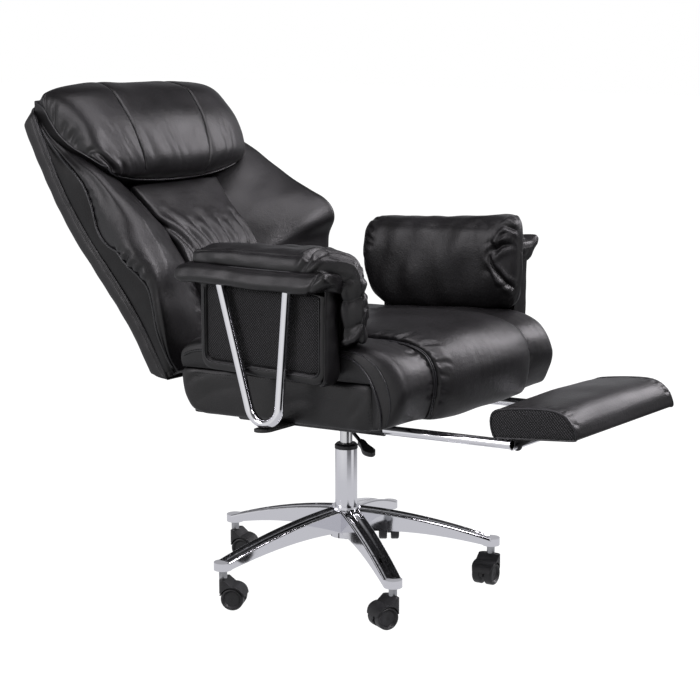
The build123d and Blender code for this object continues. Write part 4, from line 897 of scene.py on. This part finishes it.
def make_pillow(name, sign, plan, top_line, darts, gather, seed):
    """A pillow draped over the arm from the cap's edge down its inner side, its front end gathered and
    pinched. plan rows are forward place, inner and outer |x|, and the share of the height kept."""
    control = []
    for forward, inner, outer, share in plan:
        top = np.interp(forward, *zip(*top_line))
        floor = np.interp(forward, [-151, -124, -94, 0, 200, 285], [650, 619, 584, 586, 600, 625])
        section = np.array([
            (0.96, 758.5), (1.01, 771), (0.965, 789), (0.82, top - 5), (0.57, top), (0.31, top - 3),
            (0.12, top - 21), (0.03, top - 60), (0, (top + floor) / 2), (0.015, floor + 60),
            (0.07, floor + 28), (0.21, floor + 7), (0.4, floor), (0.57, floor + 9), (0.575, floor + 60),
            (0.575, 712), (0.58, 765), (0.76, 765),
        ])
        # past the strip the arm no longer stands in the way and the stuffing fills the notch
        filled = [(0.80, floor + 16), (0.90, floor + 64), (0.93, 705), (0.93, 738), (0.95, 752)]
        section[13:] += smooth(222, 234, forward) * (np.array(filled) - section[13:])
        across, up = section.T
        middle = 0.6 * top + 0.4 * floor
        x, z = inner + (outer - inner) * across, middle + (up - middle) * share
        control.append(np.stack(spread(sign * x, -forward, z), -1))
    rows = 300
    points = net(control, rows, 330)
    shown = slice(0, 240)
    run = flatten(points[:, shown])
    flat = run - (run[np.abs(points[:, 120, 1]).argmin(), 120, 0], 0)
    along, girth = flat[..., 0], flat[..., 1]
    offset = ripple(points[:, shown], 75, 1.3, seed) + folds(flat, darts, 0.6)
    offset += gathers(flat, [(292, 20), (296, 190), (292, 350)], lambda f: (-1, 0.25 - 0.5 * f), 20, 46, 5.5,
                      gather, seed + 1)
    offset += gathers(flat, [(-142, 30), (-146, 190), (-142, 330)], lambda f: (1, 0.2 - 0.4 * f), 14, 34, 5.0,
                      2.6, seed + 2)
    seam = bump(27, 2.6, girth - 0.02 * along) * smooth(-130, -110, along) * (1 - smooth(165, 176, along))
    offset = (offset - 2.2 * seam) * smooth(2, 14, girth)
    # folds pressed one on another where the near arm's end hangs below its knuckle
    y, z = points[..., 1], points[..., 2]
    wave = np.pi * z / 37 + 1.1 * np.sin(z / 43) + 0.4 * np.sin(y / 14) + ripple(points, 80, 0.55, seed + 5)
    crumple = np.abs(np.sin(wave)) ** 0.8 - 0.62
    whole = 7.5 * crumple * smooth(224, 240, -y) * (1 - smooth(742, 764, z)) * (sign < 0)
    whole[:, shown] += offset
    points = push(points, whole * fade_ends(rows, 10, 6))
    upholster(f"arm_cushion_{name}_pillow", skin(points), "seat", [f"arm_cushion_{name}"])
    forward, x, z = np.array([(-138, 350, 757.5), (-60, 357, 758), (20, 357.5, 759), (110, 357.5, 760.5),
                              (165, 356, 762), (176, 350, 767)]).T
    welt(f"arm_cushion_{name}_welt", np.stack([sign * x, -forward, z], -1), "seat", 2.0)


REAR_PLAN = [(-151, 284, 302, 0.10), (-150, 270, 320, 0.42), (-145, 254, 338, 0.72), (-132, 242, 352, 0.91),
             (-112, 236, 357, 0.98), (-60, 234, 358.5, 1.0), (20, 234, 358.5, 1.0), (100, 234, 358.5, 1.0),
             (160, 234, 358.5, 1.0)]
NEAR_PLAN = [*REAR_PLAN, (184, 235, 357, 1.0), (202, 238, 351, 1.0), (220, 245, 340, 1.0),
             (237, 255, 330, 0.99), (252, 266, 323, 0.96), (264, 277, 318, 0.88), (272, 286, 313, 0.70),
             (276.5, 292, 310, 0.42), (278, 297, 307, 0.10)]
FAR_PLAN = [*REAR_PLAN, (200, 235, 357, 1.0), (220, 236, 354, 1.0), (236, 238, 345, 1.0),
            (250, 241, 330, 1.0), (262, 246, 314, 0.97), (271, 252, 300, 0.90), (278, 260, 289, 0.72),
            (281.5, 267, 282, 0.44), (283, 272, 277, 0.10)]
NEAR_TOP = [(-151, 790), (-131, 794), (0, 803), (144, 805), (178, 806), (215, 801), (246, 786), (265, 772),
            (278, 756)]
FAR_TOP = [(-151, 796), (-120, 800), (-20, 804), (110, 812), (203, 822), (250, 825), (276, 818), (283, 806)]
NEAR_DARTS = [
    ([(172, 2), (177, 30), (171, 62), (160, 84)], 5.5, 9.0), ([(184, 4), (192, 26), (206, 50)], 4.5, 5.0),
    ([(190, 58), (228, 62), (262, 84)], 3.2, 5.0), ([(204, 76), (220, 96), (244, 104)], 5, 3.0),
    ([(196, 92), (206, 112), (232, 126)], 5, 3.0), ([(-60, 66), (0, 82), (70, 74)], 12, 1.8),
    ([(30, 52), (90, 66), (150, 60)], 9, 2.0), ([(318, 120), (274, 134), (232, 126)], 7, 5.0),
    ([(322, 164), (276, 176), (234, 164)], 8, 6.5), ([(326, 208), (280, 214), (238, 226)], 7, 6.0),
    ([(326, 252), (282, 262), (240, 250)], 8, 6.5), ([(320, 296), (282, 300), (242, 306)], 7, 6.0),
    ([(258, 140), (252, 176), (262, 206)], 6, 4.0), ([(272, 208), (262, 246), (274, 282)], 6, 4.0),
]
FAR_DARTS = [
    ([(300, 84), (280, 104), (252, 112)], 5.0, 5.0), ([(314, 136), (288, 148), (258, 166)], 6.0, 8.0),
    ([(262, 170), (284, 198), (300, 262)], 5, 5.5), ([(290, 108), (276, 130), (284, 150)], 5, 3.0),
    ([(232, 128), (204, 112), (170, 104)], 7, 2.2), ([(200, 122), (160, 108), (120, 100)], 8, 1.8),
    ([(90, 112), (50, 100), (10, 100)], 8, 1.6), ([(-60, 140), (-80, 190), (-70, 240)], 16, 1.4),
    ([(0, 150), (-10, 200), (4, 250)], 20, 1.2), ([(80, 150), (90, 200), (84, 260)], 20, 1.2),
]
upholster("arm_mesh_fields", joined([mesh_grid(name) for name in SIDES]), "seat", ["arm_mesh_inserts"],
          "mesh_fabric")
for side_name, side_sign in SIDES.items():
    make_arm_cap(side_name, side_sign)
    make_arm_panel(side_name, side_sign)
    make_arm_strip(side_name, side_sign)
make_pillow("right", -1, NEAR_PLAN, NEAR_TOP, NEAR_DARTS, 3.0, 70)
make_pillow("left", 1, FAR_PLAN, FAR_TOP, FAR_DARTS, 1.6, 80)


# ---------------------------------------------------------------- footrest pad
PAD_OUTLINE = np.array([
    # forward from the pad's rear face and height over its sloping underside
    (9, 1), (2, 15), (-0.5, 34), (4, 49), (18, 57), (50, 60), (100, 61), (144, 58.5), (170, 49), (188, 32),
    (196, 13), (197, 3), (190, 0.5), (150, 0.3), (90, 0.3), (30, 0.3),
], float)
# the pad's rear face and lowest edge on the seat's frame, and how its underside slopes
PAD_REAR, PAD_FOOT, PAD_SLOPE = 513, -6.5, radians(3.5)


def pad_ring(x, share, lift):
    """The pad's outline at x, shrunk about its middle by share and raised on top by lift."""
    middle = np.array([98.0, 28.0])
    ring = middle + (PAD_OUTLINE - middle) * share
    ring[:, 1] += lift * smooth(20, 60, ring[:, 1])
    forward, up = spline(ring, 200, closed=True).T
    return from_seat(x, PAD_REAR + forward, PAD_FOOT + forward * np.tan(PAD_SLOPE) + up)


def make_footrest_pad():
    """A firm pad: leather over the top and edges, boxed ends of mesh, welts between."""
    body, rows, upper = "footrest_pad_assembly", 220, slice(12, 140)
    # out from the middle, share of the outline, lift of the top
    half = [(195, 0.985, 0), (193, 1.0, 0.3), (182, 1.0, 1.2), (140, 1.0, 3.4), (70, 1.0, 5.2), (0, 1.0, 6)]
    stations = [(-x, share, lift) for x, share, lift in half] + half[-2::-1]
    points = lofted([pad_ring(*station) for station in stations], rows)
    flat = np.stack([points[:, upper, 0], flatten(points[:, upper])[..., 1]], -1)
    offset = ripple(points[:, upper], 80, 0.8, 6)
    for x, way in ((-193, 1), (193, -1)):
        offset += gathers(flat, [(x, 10), (x, 120), (x, 240)], lambda f: (way, 0.1), 13, 26, 4.5, 1.3,
                          90 + way)
    points = push(points, offset * fade_ends(rows, 8, 8), upper)
    upholster("footrest_pad_cover", skin(points), body, ["footrest_pad"])
    dome = [(195.6, 0.5), (195.6, 0.96), (197, 0.95), (198.4, 0.86), (199.4, 0.6), (199.8, 0.25)]
    ends = [lofted([pad_ring(sign * x, share, 0) for x, share in dome], 30) for sign in SIDES.values()]
    upholster("footrest_mesh_ends", joined(ends), body, slot="mesh_fabric")
    for name, sign in SIDES.items():
        ring = pad_ring(sign * 196.2, 0.99, 0)
        path = np.concatenate([ring, ring[:1]])[::5]
        add_piece(f"footrest_end_welt_{name}", *skin(tube(path, 2.4)), body, "leather_welt")


make_footrest_pad()


# ---------------------------------------------------------------- camera, lights and floor
camera = bpy.data.objects.new("camera", bpy.data.cameras.new("camera"))
camera.location = (-3.2274, -2.4764, 1.2991)
camera.rotation_euler = (radians(79.34), 0.0, radians(-52.62))
camera.data.sensor_width = 36.0
camera.data.lens = 95.645
camera.data.clip_end = 60.0
bpy.context.scene.collection.objects.link(camera)
bpy.context.scene.camera = camera


CHAIR_MIDDLE = np.array((0.0, 0.0, 0.7))
LAMP_TINT = (1.0, 0.96, 1.01)


def add_softbox(name, place, size, power):
    """Rectangular area lamp aimed at the middle of the chair."""
    lamp = bpy.data.lights.new(name, "AREA")
    lamp.shape = "RECTANGLE"
    lamp.size, lamp.size_y = size
    lamp.energy = power
    lamp.color = LAMP_TINT
    holder = bpy.data.objects.new(name, lamp)
    holder.location = place
    x, y, z = CHAIR_MIDDLE - place
    holder.rotation_euler = (np.arctan2(np.hypot(x, y), -z), 0.0, np.arctan2(y, x) - np.pi / 2)
    bpy.context.scene.collection.objects.link(holder)


add_softbox("softbox_overhead", (-0.2, -0.2, 3.1), (2.2, 1.8), 48.0)
add_softbox("softbox_front", (-0.4, -2.5, 3.0), (1.6, 1.4), 105.0)
add_softbox("softbox_right", (2.8, -1.3, 2.6), (1.4, 2.0), 78.0)
add_softbox("softbox_left", (-2.7, 1.5, 1.9), (1.0, 2.0), 38.0)


def surroundings(tree, split, beyond):
    """What polished parts mirror, by the compass direction of the point or ray in split: white walls to the
    left and behind the chair's right shoulder, a dark strip of open studio, a narrow reflector, and what
    lies beyond the chair."""
    heading = add_node(tree, "ShaderNodeMath", {"operation": "ARCTAN2"},
                       links={0: (split, "Y"), 1: (split, "X")})
    part = add_node(tree, "ShaderNodeMapRange", inputs={"From Min": -np.pi, "From Max": np.pi},
                    links={"Value": (heading, 0)})
    return add_node(tree, "ShaderNodeValToRGB", links={"Fac": (part, 0)}, stops=[
        (0.0, "#ffffff"), (0.11, "#f2f2f4"), (0.14, "#1e1e20"), (0.235, "#161618"), (0.265, "#f4f4f6"),
        (0.32, "#ffffff"), (0.35, "#3a3a3c"), (0.58, beyond), (0.68, "#9a9a9e"), (0.80, "#e8e8ec"),
        (1.0, "#ffffff")])


def ray_kinds(tree):
    """The kind of a ray, and 1 for one that looks straight at the studio or through a clear part."""
    ray = add_node(tree, "ShaderNodeLightPath")
    return ray, add_node(tree, "ShaderNodeMath", {"operation": "MAXIMUM"},
                         links={0: (ray, "Is Camera Ray"), 1: (ray, "Is Transmission Ray")})


world = bpy.data.worlds.new("studio")
bpy.context.scene.world = world
world.use_nodes = True
sky = world.node_tree
sky.nodes.clear()
ray, looking = ray_kinds(sky)
direction = add_node(sky, "ShaderNodeTexCoord")
split = add_node(sky, "ShaderNodeSeparateXYZ", links={"Vector": (direction, "Generated")})
room = add_node(sky, "ShaderNodeMapRange", inputs={"From Min": -1.0, "From Max": 1.0},
                links={"Value": (split, "Z")})
studio = add_node(sky, "ShaderNodeValToRGB", links={"Fac": (room, 0)}, stops=[
    (0.0, "#d8d8d8"), (0.5, "#8c8c8e"), (0.62, "#7c7c7e"), (1.0, "#c8c8c8")])
lit = add_node(sky, "ShaderNodeBackground", inputs={"Strength": 0.2}, links={"Color": (studio, 0)})
# the white cove stands low: above it the studio is dark
cove = add_node(sky, "ShaderNodeMapRange", inputs={
    "From Min": 0.22, "From Max": 0.5, "To Min": 0.9, "To Max": 0.12}, links={"Value": (split, "Z")})
walls = surroundings(sky, split, "#dcdce0")
bright = add_node(sky, "ShaderNodeBackground", links={"Color": (walls, 0), "Strength": (cove, 0)})
white = add_node(sky, "ShaderNodeBackground", inputs={"Color": (1.0, 1.0, 1.0, 1.0), "Strength": 1.0})
shiny = add_node(sky, "ShaderNodeMixShader", links={
    "Fac": (ray, "Is Glossy Ray"), 1: (lit, 0), 2: (bright, 0)})
shown = add_node(sky, "ShaderNodeMixShader", links={"Fac": (looking, 0), 1: (shiny, 0), 2: (white, 0)})
add_node(sky, "ShaderNodeOutputWorld", links={"Surface": (shown, 0)})

floor_mesh = bpy.data.meshes.new("studio_floor")
floor_mesh.from_pydata([(-20, -20, 0), (20, -20, 0), (20, 20, 0), (-20, 20, 0)], [], [(0, 1, 2, 3)])
studio_floor = bpy.data.objects.new("studio_floor", floor_mesh)
bpy.context.scene.collection.objects.link(studio_floor)
paper, tree, shader, here = new_finish("seamless_white_paper", Roughness=0.9,
                                       Base_Color=hex_colour("#a0a0a0"))
fibre = add_node(tree, "ShaderNodeTexNoise", inputs={"Scale": 40.0}, links=here)
add_node(tree, "ShaderNodeBump", inputs={"Strength": 0.05}, links={"Height": (fibre, 0)},
         to=(shader, "Normal"))
ray, looking = ray_kinds(tree)
glow = add_node(tree, "ShaderNodeEmission", inputs={"Color": (1.0, 1.0, 1.0, 1.0), "Strength": 1.3})
# polished parts see the same surroundings mirrored in the floor, and bright paper round the star base
sheet = surroundings(tree, add_node(tree, "ShaderNodeSeparateXYZ", links=here), "#b4b4b8")
far_paper = add_node(tree, "ShaderNodeEmission", inputs={"Strength": 0.88}, links={"Color": (sheet, 0)})
near_paper = add_node(tree, "ShaderNodeEmission", inputs={"Color": hex_colour("#d6d6da"), "Strength": 0.95})
away = add_node(tree, "ShaderNodeVectorMath", {"operation": "LENGTH"}, links=here)
reach = add_node(tree, "ShaderNodeMapRange", inputs={"From Min": 0.9, "From Max": 1.4},
                 links={"Value": (away, "Value")})
mirrored = add_node(tree, "ShaderNodeMixShader", links={
    "Fac": (reach, 0), 1: (near_paper, 0), 2: (far_paper, 0)})
underlay = add_node(tree, "ShaderNodeMixShader", links={
    "Fac": (ray, "Is Glossy Ray"), 1: (shader, 0), 2: (mirrored, 0)})
share = add_node(tree, "ShaderNodeMath", {"operation": "MULTIPLY"}, {1: 0.80}, {0: (looking, 0)})
add_node(tree, "ShaderNodeMixShader", links={"Fac": (share, 0), 1: (underlay, 0), 2: (glow, 0)},
         to=(tree.nodes["Material Output"], "Surface"))
floor_mesh.materials.append(paper)

bpy.context.scene.view_settings.view_transform = "Standard"
